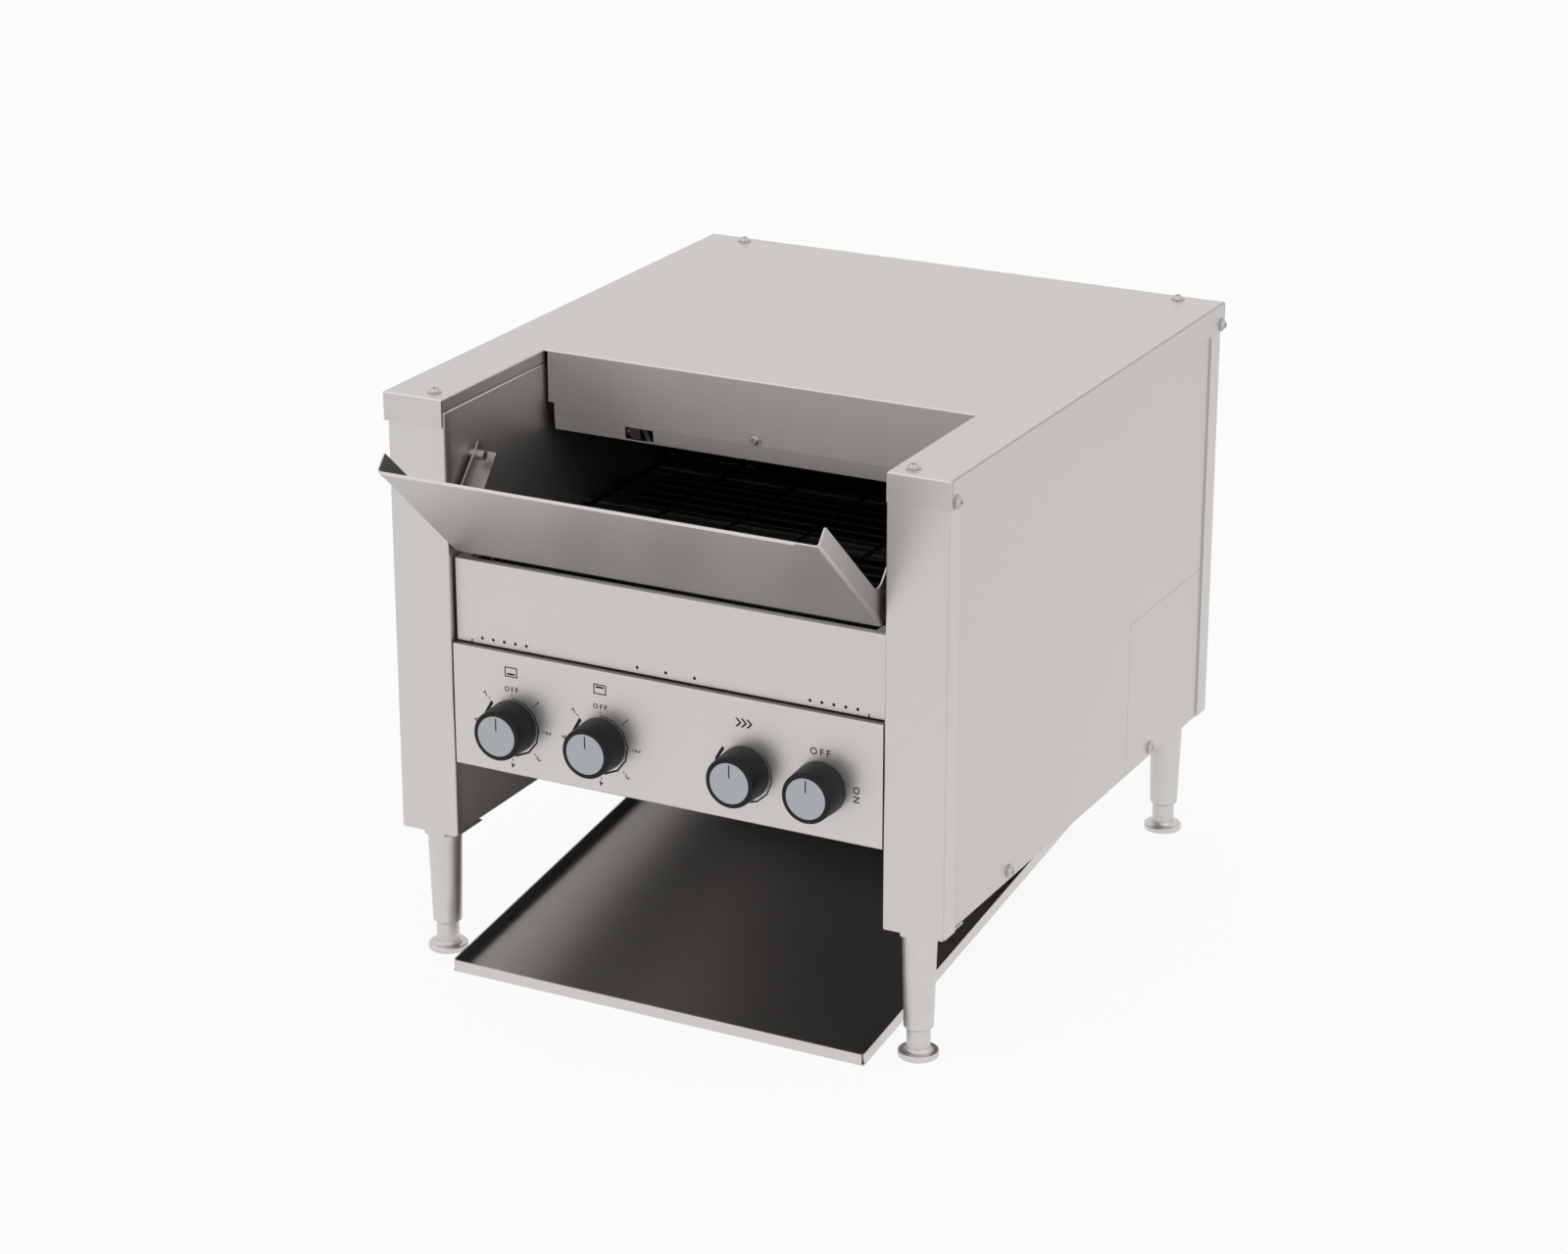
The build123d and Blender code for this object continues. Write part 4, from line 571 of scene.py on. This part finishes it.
def milky_quartz(name):
    """Quartz tube whose coil shows through as close dark turns, with clear ends."""
    paint = Paint(name, (0.10, 0.095, 0.088), 0.30)
    across = paint.along("X")
    turns = (across * (2 * math.pi / COIL_PITCH)).sine()
    cloud = paint.noise(200.0, 3.0)
    coil = paint.ramp(turns, 0.1, 0.8) * (1 - paint.ramp(abs(across), COIL_END, TUBE_CLEAR))
    shown = paint.mixed(coil * 0.75, paint.tinted(cloud, 0.9, 1.1), (0.020, 0.017, 0.014))
    paint.set("Base Color", shown)
    paint.set("Roughness", 0.24 + cloud * 0.1)
    return paint.material


def spun_cap(name, centre, finish):
    """Spun disc: fine rings round its centre, and a black pointer in its groove."""
    paint = Paint(name, finish.cap, 0.34, 1.0)
    flat = paint.stretched((1.0, 0.0, 1.0), centre)
    radius = paint.add("ShaderNodeVectorMath", {"operation": "LENGTH"}, {0: flat}, "Value")
    outward = paint.add("ShaderNodeCombineXYZ", {}, {"X": radius * CAP_RINGS})
    rings = paint.noise(1.0, 2.0, outward)
    upward = paint.along("Z", flat)
    narrow = abs(paint.along("X", flat)) < POINTER_HALF
    pointer = narrow * (upward > POINTER_START) * (upward < POINTER_END)
    disc = paint.tinted(rings, 0.94, 1.06)
    paint.set("Base Color", paint.mixed(pointer, disc, (0.012, 0.012, 0.013)))
    paint.set("Metallic", 1 - pointer)
    paint.set("Roughness", 0.30 + rings * 0.08 + pointer * 0.2)
    paint.bump(rings, 0.004 * MM, 0.5)
    return paint.material


def finish_node(name, material):
    """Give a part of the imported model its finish."""
    slots = NODES[name].data.materials
    for index in range(len(slots)):
        slots[index] = material


# ---------------------------------------------------------------- modelling


def only(piece):
    """Deselect everything, then select one object and make it active."""
    if bpy.context.mode != "OBJECT":
        bpy.ops.object.mode_set(mode="OBJECT")
    bpy.ops.object.select_all(action="DESELECT")
    piece.select_set(True)
    bpy.context.view_layer.objects.active = piece


def started(name):
    """Name the object that a primitive operator has just added."""
    piece = bpy.context.active_object
    piece.name = name
    piece.data.name = name
    return piece


def pick(piece, faces=None, edges=None, verts=None):
    """In edit mode, select only the elements that pass the test."""
    bpy.ops.mesh.select_all(action="DESELECT")
    mesh = bmesh.from_edit_mesh(piece.data)
    for elements, test in ((mesh.faces, faces), (mesh.edges, edges), (mesh.verts, verts)):
        for element in elements if test else ():
            if test(element):
                element.select_set(True)
    mesh.select_flush_mode()
    bmesh.update_edit_mesh(piece.data)


def settled(piece):
    """Put an object's place, turn and size into its mesh."""
    only(piece)
    bpy.ops.object.transform_apply(location=True, rotation=True, scale=True)
    return piece


def joined(pieces, name):
    """Join several meshes into one."""
    only(pieces[0])
    for piece in pieces:
        piece.select_set(True)
    bpy.ops.object.join()
    pieces[0].name = name
    pieces[0].data.name = name
    return pieces[0]


def copied(piece, name, shift):
    """A copy with its own mesh, moved by shift."""
    only(piece)
    bpy.ops.object.duplicate()
    twin = started(name)
    twin.location += shift
    return settled(twin)


def dress(piece, material, body):
    """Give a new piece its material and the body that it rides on."""
    piece.data.materials.clear()
    piece.data.materials.append(material)
    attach(piece, body)


def dial_centre(name):
    """Middle of a dial, on the front face of the control panel."""
    low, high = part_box(f"{name}_knob")
    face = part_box("control_panel")[0].y
    return Vector(((low.x + high.x) / 2, face, (low.z + high.z) / 2))


def on_dial(centre, radius, angle):
    """Point at a radius and a clockwise angle from the top of a dial."""
    return centre + Vector((radius * math.sin(angle), 0.0, radius * math.cos(angle)))


def thickened(piece, thickness):
    """Turn a flat print into a thin closed plate whose back lies just inside the panel."""
    only(piece)
    bpy.ops.object.mode_set(mode="EDIT")
    bpy.ops.mesh.select_all(action="SELECT")
    bpy.ops.mesh.remove_doubles(threshold=MERGED)
    bpy.ops.mesh.extrude_region_move(TRANSFORM_OT_translate={"value": (0, thickness, 0)})
    bpy.ops.mesh.select_all(action="SELECT")
    bpy.ops.mesh.normals_make_consistent(inside=False)
    bpy.ops.object.mode_set(mode="OBJECT")
    piece.location.y -= thickness * PROUD
    return settled(piece)


def printed_band(centre, start, end, dial):
    """The band round a dial: an edge that is swept in straight steps and widened at each one."""
    steps = round((end - start) / BAND_STEP)
    step = (end - start) / steps
    inner = dial.ring_radius
    width = dial.band_thin
    middle = on_dial(centre, inner + width / 2, start)
    sideways = Vector((math.cos(start), 0.0, -math.sin(start)))
    bpy.ops.mesh.primitive_plane_add(size=width, location=middle, rotation=(QUARTER, start, 0))
    band = settled(started("band"))
    bpy.ops.object.mode_set(mode="EDIT")
    pick(band, verts=lambda v: (v.co - middle).dot(sideways) < 0)
    bpy.ops.mesh.delete(type="VERT")
    bpy.ops.mesh.select_all(action="SELECT")
    bpy.ops.transform.translate(value=sideways * (-width / 2))
    for turn in range(1, steps + 1):
        wider = dial.band_thin + (dial.band_thick - dial.band_thin) * turn / steps
        angle = start + step * turn
        bpy.ops.mesh.extrude_edges_move()
        bpy.ops.transform.rotate(value=-step, orient_axis="Y", center_override=centre)
        bpy.ops.transform.resize(
            value=(wider / width, 1, wider / width), center_override=on_dial(centre, inner, angle)
        )
        width = wider
    bpy.ops.object.mode_set(mode="OBJECT")
    return band


def printed_bar(centre, width, height, angle=0.0):
    """A small upright bar, turned clockwise by angle."""
    bpy.ops.mesh.primitive_plane_add(size=1.0, location=centre, rotation=(QUARTER, angle, 0))
    bar = started("bar")
    bar.scale = (width, height, 1.0)
    return settled(bar)


def printed_frame(centre, width, height, line):
    """A rectangular outline."""
    outline = printed_bar(centre, width, height)
    bpy.ops.object.mode_set(mode="EDIT")
    bpy.ops.mesh.select_all(action="SELECT")
    bpy.ops.mesh.inset(thickness=line, depth=0)
    bpy.ops.mesh.delete(type="FACE")
    bpy.ops.object.mode_set(mode="OBJECT")
    return outline


def printed_word(text, centre, height, weight, stretch=1.0, spread=1.0, angle=0.0):
    """Letters or digits of a given height, thickened by weight and turned clockwise by angle."""
    bpy.ops.object.text_add(rotation=(QUARTER, 0, 0))
    word = bpy.context.active_object
    word.data.body = text
    word.data.size = height
    word.data.space_character = spread
    word.data.offset = weight
    word.data.resolution_u = 4
    only(word)
    bpy.ops.object.convert(target="MESH")
    piece = settled(bpy.context.active_object)
    bpy.ops.object.origin_set(type="ORIGIN_GEOMETRY", center="BOUNDS")
    grow = height / piece.dimensions.z
    piece.scale = (grow * stretch, 1.0, grow)
    piece.rotation_euler.y = angle
    piece.location = centre
    return settled(piece)


def chevron(centre, size, line):
    """One arrow head that points right: an edge swept down to the tip and on to the other end."""
    bpy.ops.mesh.primitive_plane_add(size=line, location=centre, rotation=(QUARTER, 0, 0))
    head = settled(started("chevron"))
    bpy.ops.object.mode_set(mode="EDIT")
    pick(head, verts=lambda v: v.co.z < centre.z)
    bpy.ops.mesh.delete(type="VERT")
    bpy.ops.mesh.select_all(action="SELECT")
    bpy.ops.transform.translate(value=(-size / 4, 0, size / 2 - line / 2))
    for way in (1, -1):
        bpy.ops.mesh.extrude_edges_move()
        bpy.ops.transform.translate(value=(way * size / 2, 0, -size / 2))
    bpy.ops.object.mode_set(mode="OBJECT")
    return head


# ---------------------------------------------------------------- pieces


class TOASTER_OT_casing(bpy.types.Operator):
    """Give the outer sheet metal its satin finish, with the grain along each panel"""

    bl_idname = "toaster.casing"
    bl_label = "Casing"

    def execute(self, context):
        finish = context.scene.toaster_finish
        # Painted shade: the cover, chute, side panels and leg brackets take darker copies of the
        # sheet, and each marked part adds its own painted shade or highlight.
        cover = satin_steel("cover_sheet", "x", finish, 0.95, marked=self.creased)
        chute = satin_steel("chute_sheet", "x", finish, 0.86, marked=self.warmed)
        side = satin_steel("satin_sheet_deep", "y", finish, 0.95)
        post = satin_steel("post_sheet", "z", finish, marked=self.folded)
        finish_node("top_cover", cover)
        finish_node("feed_chute", chute)
        finish_node("back_panel", satin_steel("satin_sheet_wide", "x", finish))
        finish_node("rear_leg_brackets", satin_steel("bracket_sheet", "z", finish, 0.95))
        for name in ("left_side_panel", "right_side_panel", "service_panel"):
            finish_node(name, side)
        for name in ("left_front_post", "right_front_post"):
            finish_node(name, post)
        for name in ("control_panel", "upper_front_panel"):
            sheet = satin_steel(f"{name}_sheet", "x", finish, marked=self.lipped(name))
            finish_node(name, sheet)
        return {"FINISHED"}

    def warmed(self, paint, sheet):
        """Painted shade: the chute is darker towards its low edge, which faces down at the shaded
        controls and floor.
        """
        low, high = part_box("feed_chute")
        share = paint.ramp(paint.along("Z"), low.z, high.z)
        return paint.mixed(share, paint.dimmed(CHUTE_SHADE), sheet)

    def lipped(self, name):
        """Painted shade on a front panel: its top lip, shaded by the part above it, and its inside,
        darkened so that the vent holes read black.
        """
        low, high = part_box(name)

        def colour(paint, sheet):
            inside = paint.along("Y") > low.y + FRONT_SKIN
            lip = paint.along("Z") > high.z - TOP_LIP
            inside_shaded = paint.mixed(inside, sheet, paint.dimmed(INSIDE_SHADE))
            return paint.mixed(lip, inside_shaded, paint.dimmed(LIP_SHADE))

        return colour

    def folded(self, paint, sheet):
        """Painted shade on a front post: a dark line in its outer bend and along the edge that laps
        the side panel.
        """
        low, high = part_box("right_front_post")
        outside = abs(paint.along("X")) > high.x - POST_BEND
        depth = paint.along("Y")
        fold = (depth < low.y + POST_BEND).or_more(depth > low.y + POST_FLANGE)
        return paint.mixed(outside * fold, sheet, paint.dimmed(POST_EDGE_SHADE))

    def creased(self, paint, sheet):
        """Painted shade in the cover's side bends, and a painted highlight in the strip under its
        header.
        """
        low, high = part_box("top_cover")
        upward = paint.along("Z")
        side = abs(paint.along("X")) > high.x - COVER_BEND
        bend = side * (upward > high.z - COVER_BEND)
        bend_shaded = paint.mixed(bend, sheet, paint.dimmed(BEND_SHADE))
        return paint.mixed(upward < low.z + HEADER_STRIP, bend_shaded, HEADER_HIGHLIGHT)


class TOASTER_OT_slide(bpy.types.Operator):
    """Finish the slide that the toast comes down on"""

    bl_idname = "toaster.slide"
    bl_label = "Discharge slide"

    def execute(self, context):
        finish = context.scene.toaster_finish
        slide = satin_steel("slide_sheet", "x", finish, roughness=0.32, marked=self.browned)
        finish_node("discharge_slide", slide)
        # Painted shade: the runners take a darker copy of the sheet.
        finish_node("slide_runners", satin_steel("runner_sheet", "y", finish, 0.6))
        return {"FINISHED"}

    def browned(self, paint, sheet):
        """Painted shade and painted reflection: the sheet between the rims is darkened for the dark
        underside that it mirrors, and the rims stay bright on the outside.
        """
        low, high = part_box("discharge_slide")
        side_rim = abs(paint.along("X")) > high.x - EAR_LIP - SIDE_RIM
        rim = side_rim.or_more(paint.along("Y") < low.y + FRONT_RIM)
        return paint.mixed(rim, paint.dimmed(SLIDE_SHADE), sheet)


class TOASTER_OT_tunnel(bpy.types.Operator):
    """Darken the reflectors and shields round the heaters with heat stain and painted shade, and
    finish the walls, heaters and probe
    """

    bl_idname = "toaster.tunnel"
    bl_label = "Toasting tunnel"

    def execute(self, context):
        finish = context.scene.toaster_finish
        baked_and_shaded = baked_steel("baked_and_shaded_sheet", finish)
        for name in ("upper_reflector", "lower_reflector", "rear_deflector", "heat_shield"):
            finish_node(name, baked_and_shaded)
        wall = satin_steel("wall_sheet", "y", finish, roughness=0.46)
        for name in ("left_inner_wall", "right_inner_wall", "control_box_floor"):
            finish_node(name, wall)
        ceramic = moulded("steatite", (0.12, 0.112, 0.10), 0.75, 0.6 * MM, 0.04 * MM)
        probe = turned_metal("probe_metal", (0.09, 0.082, 0.074), 0.45, 0.35 * MM, "x")
        finish_node("heater_tubes", milky_quartz("milky_quartz"))
        finish_node("heater_end_caps", ceramic)
        finish_node("limit_probe", probe)
        return {"FINISHED"}


class TOASTER_OT_conveyor(bpy.types.Operator):
    """Finish the wire belt, its shafts, sprockets, bearings, chain and motor"""

    bl_idname = "toaster.conveyor"
    bl_label = "Conveyor"

    def execute(self, context):
        # Painted shade: the belt, chain, sprockets, shafts and bearings sit in the dark tunnel and
        # are given near-black colours.
        wire = turned_metal("belt_wire", (0.013, 0.0125, 0.012), 0.58, 0.8 * MM, "x")
        oiled = turned_metal("oiled_steel", (0.050, 0.048, 0.046), 0.48, 0.5 * MM, "x")
        bright = turned_metal("ground_steel", (0.10, 0.098, 0.095), 0.38, 0.3 * MM, "x")
        bronze = turned_metal("sintered_bronze", (0.055, 0.038, 0.022), 0.5, 0.3 * MM, "x")
        paint = moulded("motor_paint", (0.055, 0.060, 0.065), 0.42, 0.7 * MM)
        finish_node("conveyor_belt", wire)
        finish_node("shaft_bearings", bronze)
        finish_node("gearmotor", paint)
        for name in ("idler_sprockets", "drive_sprockets", "drive_chain", "motor_sprocket"):
            finish_node(name, oiled)
        for name in ("idler_shaft", "drive_shaft"):
            finish_node(name, bright)
        return {"FINISHED"}


class TOASTER_OT_controls(bpy.types.Operator):
    """Finish the controls, the fan, the terminal block and the gland"""

    bl_idname = "toaster.controls"
    bl_label = "Controls and wiring"

    def execute(self, context):
        phenolic = moulded("phenolic", (0.045, 0.038, 0.033), 0.5, 0.5 * MM)
        nylon = moulded("black_nylon", (0.022, 0.022, 0.023), 0.45)
        for name in ("bottom_heat_control", "top_heat_control", "speed_control", "power_switch"):
            finish_node(name, phenolic)
        for name in ("fan_housing", "fan_rotor", "terminal_block", "cord_gland"):
            finish_node(name, nylon)
        ground = turned_metal("spindle_metal", (0.5, 0.49, 0.48), 0.3, 0.3 * MM, "y")
        for name in DIALS:
            finish_node(f"{name}_spindle", ground)
        return {"FINISHED"}


class TOASTER_OT_fasteners(bpy.types.Operator):
    """Finish the screws, the pivot screws and the legs with their feet"""

    bl_idname = "toaster.fasteners"
    bl_label = "Screws and legs"

    def execute(self, context):
        screw = turned_metal("screw_metal", (0.50, 0.49, 0.48), 0.36, 0.4 * MM, "y")
        leg = turned_metal("leg_satin", (0.64, 0.615, 0.60), 0.38, 0.5 * MM, "z")
        finish_node("casing_screws", screw)
        finish_node("chute_pivot_screws", screw)
        finish_node("legs", leg)
        for name in NODES:
            if name.endswith("_foot"):
                finish_node(name, leg)
        return {"FINISHED"}


class TOASTER_OT_knobs(bpy.types.Operator):
    """Model the knob, copy it to each dial and finish the caps"""

    bl_idname = "toaster.knobs"
    bl_label = "Knobs"

    def execute(self, context):
        finish = context.scene.toaster_finish
        dial = context.scene.toaster_dial
        black = moulded("knob_moulding", finish.knob, 0.48, 0.30 * MM, 0.01 * MM, 0.2)
        first = self.model(dial)
        home = dial_centre(DIALS[0])
        for name in DIALS:
            centre = dial_centre(name)
            knob = copied(first, f"{name}_turned_knob", centre - home)
            dress(knob, black, f"{name}_dial")
            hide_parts(f"{name}_knob")
            finish_node(f"{name}_knob_cap", spun_cap(f"{name}_spun_cap", centre, finish))
        bpy.data.objects.remove(first)
        return {"FINISHED"}

    def model(self, dial):
        """One knob at the first dial: tapered skirt, rounded rim and the seat of its cap."""
        low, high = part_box(f"{DIALS[0]}_knob")
        cap_low, cap_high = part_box(f"{DIALS[0]}_knob_cap")
        centre = (low + high) / 2
        base = (high.x - low.x) / 2
        rim = base - dial.knob_taper
        seat = (cap_high.x - cap_low.x) / 2 + dial.seat_gap
        bpy.ops.mesh.primitive_cylinder_add(
            vertices=dial.knob_sides,
            radius=base,
            depth=high.y - low.y,
            location=centre,
            rotation=(QUARTER, 0, 0),
        )
        knob = settled(started("knob_model"))
        bpy.ops.object.mode_set(mode="EDIT")
        pick(knob, faces=lambda f: f.normal.y < -0.9)
        bpy.ops.transform.resize(value=(rim / base, 1, rim / base), center_override=centre)
        bpy.ops.mesh.inset(thickness=rim - seat, depth=0)
        inwards = (0, cap_high.y - low.y, 0)
        bpy.ops.mesh.extrude_region_move(TRANSFORM_OT_translate={"value": inwards})
        pick(knob, edges=lambda e: self.on_circle(e, centre, low.y, rim))
        bpy.ops.mesh.bevel(offset=dial.rim_round, segments=5, profile=0.5)
        pick(knob, edges=lambda e: self.on_circle(e, centre, high.y, base))
        bpy.ops.mesh.bevel(offset=dial.rim_round / 4, segments=2, profile=0.5)
        bpy.ops.mesh.select_all(action="SELECT")
        bpy.ops.mesh.normals_make_consistent(inside=False)
        bpy.ops.object.mode_set(mode="OBJECT")
        bpy.ops.object.shade_smooth_by_angle(angle=SMOOTHED)
        return knob

    def on_circle(self, edge, centre, y, radius):
        """True for the edges of one circle round the knob's axis."""
        for vert in edge.verts:
            reach = math.hypot(vert.co.x - centre.x, vert.co.z - centre.z)
            if max(abs(vert.co.y - y), abs(reach - radius)) > SAME_CIRCLE:
                return False
        return True


class TOASTER_OT_dial_marks(bpy.types.Operator):
    """Print the bands, digits and words round the dials"""

    bl_idname = "toaster.dial_marks"
    bl_label = "Dial marks"

    def execute(self, context):
        dial = context.scene.toaster_dial
        finish = context.scene.toaster_finish
        marks = []
        for name in HEAT_DIALS:
            marks += self.heat_scale(dial_centre(name), dial)
        marks.append(printed_band(dial_centre("speed"), SPEED_START, DIAL_END, dial))
        marks += self.power_words(dial_centre("power"))
        marks += self.signs()
        whole = thickened(joined(marks, "dial_marks"), dial.ink_thickness)
        ink = moulded("panel_ink", finish.ink, 0.6, 0.2 * MM, 0.002 * MM, 0.15)
        dress(whole, ink, "casing")
        return {"FINISHED"}

    def heat_scale(self, centre, dial):
        """A band that widens from OFF to the last digit, and the digits with a tick below each."""
        off = on_dial(centre, HEAT_OFF_RADIUS, 0.0)
        marks = [
            printed_band(centre, 0.0, DIAL_END, dial),
            printed_word("OFF", off, **HEAT_OFF),
            printed_bar(on_dial(centre, OFF_TICK_RADIUS, 0.0), *OFF_TICK),
        ]
        for digit in range(1, LAST_DIGIT + 1):
            angle = DIAL_END * digit / LAST_DIGIT
            place = on_dial(centre, dial.digit_radius, angle)
            tick = on_dial(centre, DIGIT_TICK_RADIUS, angle)
            marks.append(
                printed_word(str(digit), place, dial.digit_height, angle=angle, **DIGIT)
            )
            marks.append(printed_bar(tick, *DIGIT_TICK, angle))
        return marks

    def power_words(self, centre):
        """OFF above the power knob and ON at its right."""
        above = on_dial(centre, POWER_OFF_RADIUS, 0.0)
        right = on_dial(centre, POWER_ON_RADIUS, QUARTER)
        return [
            printed_word("OFF", above, **POWER_OFF),
            printed_word("ON", right, angle=QUARTER, **POWER_ON),
        ]

    def signs(self):
        """Plain signs above three dials: lower element, upper element and belt speed."""
        marks = []
        for name, side in zip(HEAT_DIALS, (-1, 1)):
            middle = on_dial(dial_centre(name), HEAT_SIGN_RADIUS, 0.0)
            marks.append(printed_frame(middle, *HEAT_SIGN))
            bar = middle + Vector((0.0, 0.0, side * HEAT_SIGN_SHIFT))
            marks.append(printed_bar(bar, *HEAT_SIGN_BAR))
        middle = on_dial(dial_centre("speed"), SPEED_SIGN_RADIUS, 0.0)
        for step in (-1, 0, 1):
            head = middle + Vector((step * ARROW_PITCH, 0.0, 0.0))
            marks.append(chevron(head, *ARROW))
        return marks


class TOASTER_OT_studio(bpy.types.Operator):
    """Set up the pale floor, the lights, the surround and the camera"""

    bl_idname = "toaster.studio"
    bl_label = "Studio"

    def execute(self, context):
        studio = context.scene.toaster_studio
        self.floor(studio)
        self.world(context.scene, studio)
        self.lamps()
        self.camera(context.scene, studio)
        context.scene.view_settings.view_transform = "Standard"
        return {"FINISHED"}

    def floor(self, studio):
        """Pale floor that keeps a faint shadow."""
        bpy.ops.object.select_all(action="DESELECT")
        bpy.ops.mesh.primitive_plane_add(size=studio.floor_size)
        ground = started("floor")
        bpy.ops.object.mode_set(mode="EDIT")
        bpy.ops.mesh.subdivide(number_cuts=3)
        bpy.ops.object.mode_set(mode="OBJECT")
        paint = Paint("pale_floor", studio.floor_shade, 0.9)
        paint.set("Specular IOR Level", 0.0)
        bright = paint.add("ShaderNodeEmission", {}, {"Color": studio.floor_glow})
        share = paint.seen_directly() * studio.floor_evenness
        paint.show("Material Output", share, paint.existing("Principled BSDF"), bright)
        ground.data.materials.append(paint.material)

    def world(self, scene, studio):
        """Even light all round, and a white background."""
        scene.world = bpy.data.worlds.new("studio")
        scene.world.use_nodes = True
        nodes = Nodes(scene.world.node_tree)
        dim = nodes.add(
            "ShaderNodeBackground", {}, {"Color": (1.0, 1.0, 1.0), "Strength": studio.surround}
        )
        white = nodes.add("ShaderNodeBackground", {}, {"Color": studio.backdrop, "Strength": 1.0})
        nodes.show("World Output", nodes.seen_directly(), dim, white)

    def lamps(self):
        """A large key at the upper left, a weaker fill at the right and a faint one overhead."""
        for name, place, size, power in (
            ("key", (-1.7, -2.0, 2.2), 2.8, 12.0),
            ("fill", (2.4, -1.2, 1.5), 2.4, 6.0),
            ("overhead", (-0.3, 0.2, 2.8), 2.4, 2.0),
        ):
            bpy.ops.object.light_add(type="AREA", location=place)
            lamp = bpy.context.active_object
            lamp.name = name
            lamp.data.size = size
            lamp.data.energy = power
            sight = Vector(LAMP_AIM) - lamp.location
            lamp.rotation_euler = sight.to_track_quat("-Z", "Y").to_euler()

    def camera(self, scene, studio):
        """Camera that looks down at the front from the right."""
        level = math.cos(studio.elevation)
        across = -math.sin(studio.azimuth) * level
        inwards = math.cos(studio.azimuth) * level
        sight = Vector((across, inwards, -math.sin(studio.elevation)))
        place = Vector(studio.aim) - sight * studio.distance
        turn = sight.to_track_quat("-Z", "Y").to_euler()
        bpy.ops.object.camera_add(location=place, rotation=turn)
        camera = bpy.context.active_object
        camera.name = "camera"
        camera.data.lens = studio.lens
        camera.data.sensor_width = 36.0
        camera.data.sensor_fit = "HORIZONTAL"
        camera.data.clip_start = 0.05
        camera.data.clip_end = 100.0
        scene.camera = camera


class TOASTER_PT_panel(bpy.types.Panel):
    """Lists the steps in order"""

    bl_idname = "TOASTER_PT_panel"
    bl_label = "Toaster"
    bl_space_type = "VIEW_3D"
    bl_region_type = "UI"
    bl_category = "Toaster"

    def draw(self, context):
        for settings in SETTINGS:
            group = getattr(context.scene, settings)
            box = self.layout.box()
            for name in group.__annotations__:
                box.prop(group, name)
        for operator in OPERATORS:
            self.layout.operator(operator.bl_idname)


SETTINGS = {
    "toaster_finish": FinishSettings,
    "toaster_dial": DialSettings,
    "toaster_studio": StudioSettings,
}
OPERATORS = (
    TOASTER_OT_studio,
    TOASTER_OT_casing,
    TOASTER_OT_slide,
    TOASTER_OT_tunnel,
    TOASTER_OT_conveyor,
    TOASTER_OT_controls,
    TOASTER_OT_fasteners,
    TOASTER_OT_knobs,
    TOASTER_OT_dial_marks,
)


def register():
    for cls in (*SETTINGS.values(), *OPERATORS, TOASTER_PT_panel):
        bpy.utils.register_class(cls)
    for name, group in SETTINGS.items():
        setattr(bpy.types.Scene, name, bpy.props.PointerProperty(type=group))


def unregister():
    for name in SETTINGS:
        delattr(bpy.types.Scene, name)
    for cls in reversed((*SETTINGS.values(), *OPERATORS, TOASTER_PT_panel)):
        bpy.utils.unregister_class(cls)


def main():
    register()
    for operator in OPERATORS:
        group, name = operator.bl_idname.split(".")
        getattr(getattr(bpy.ops, group), name)()


if __name__ == "__main__":
    main()
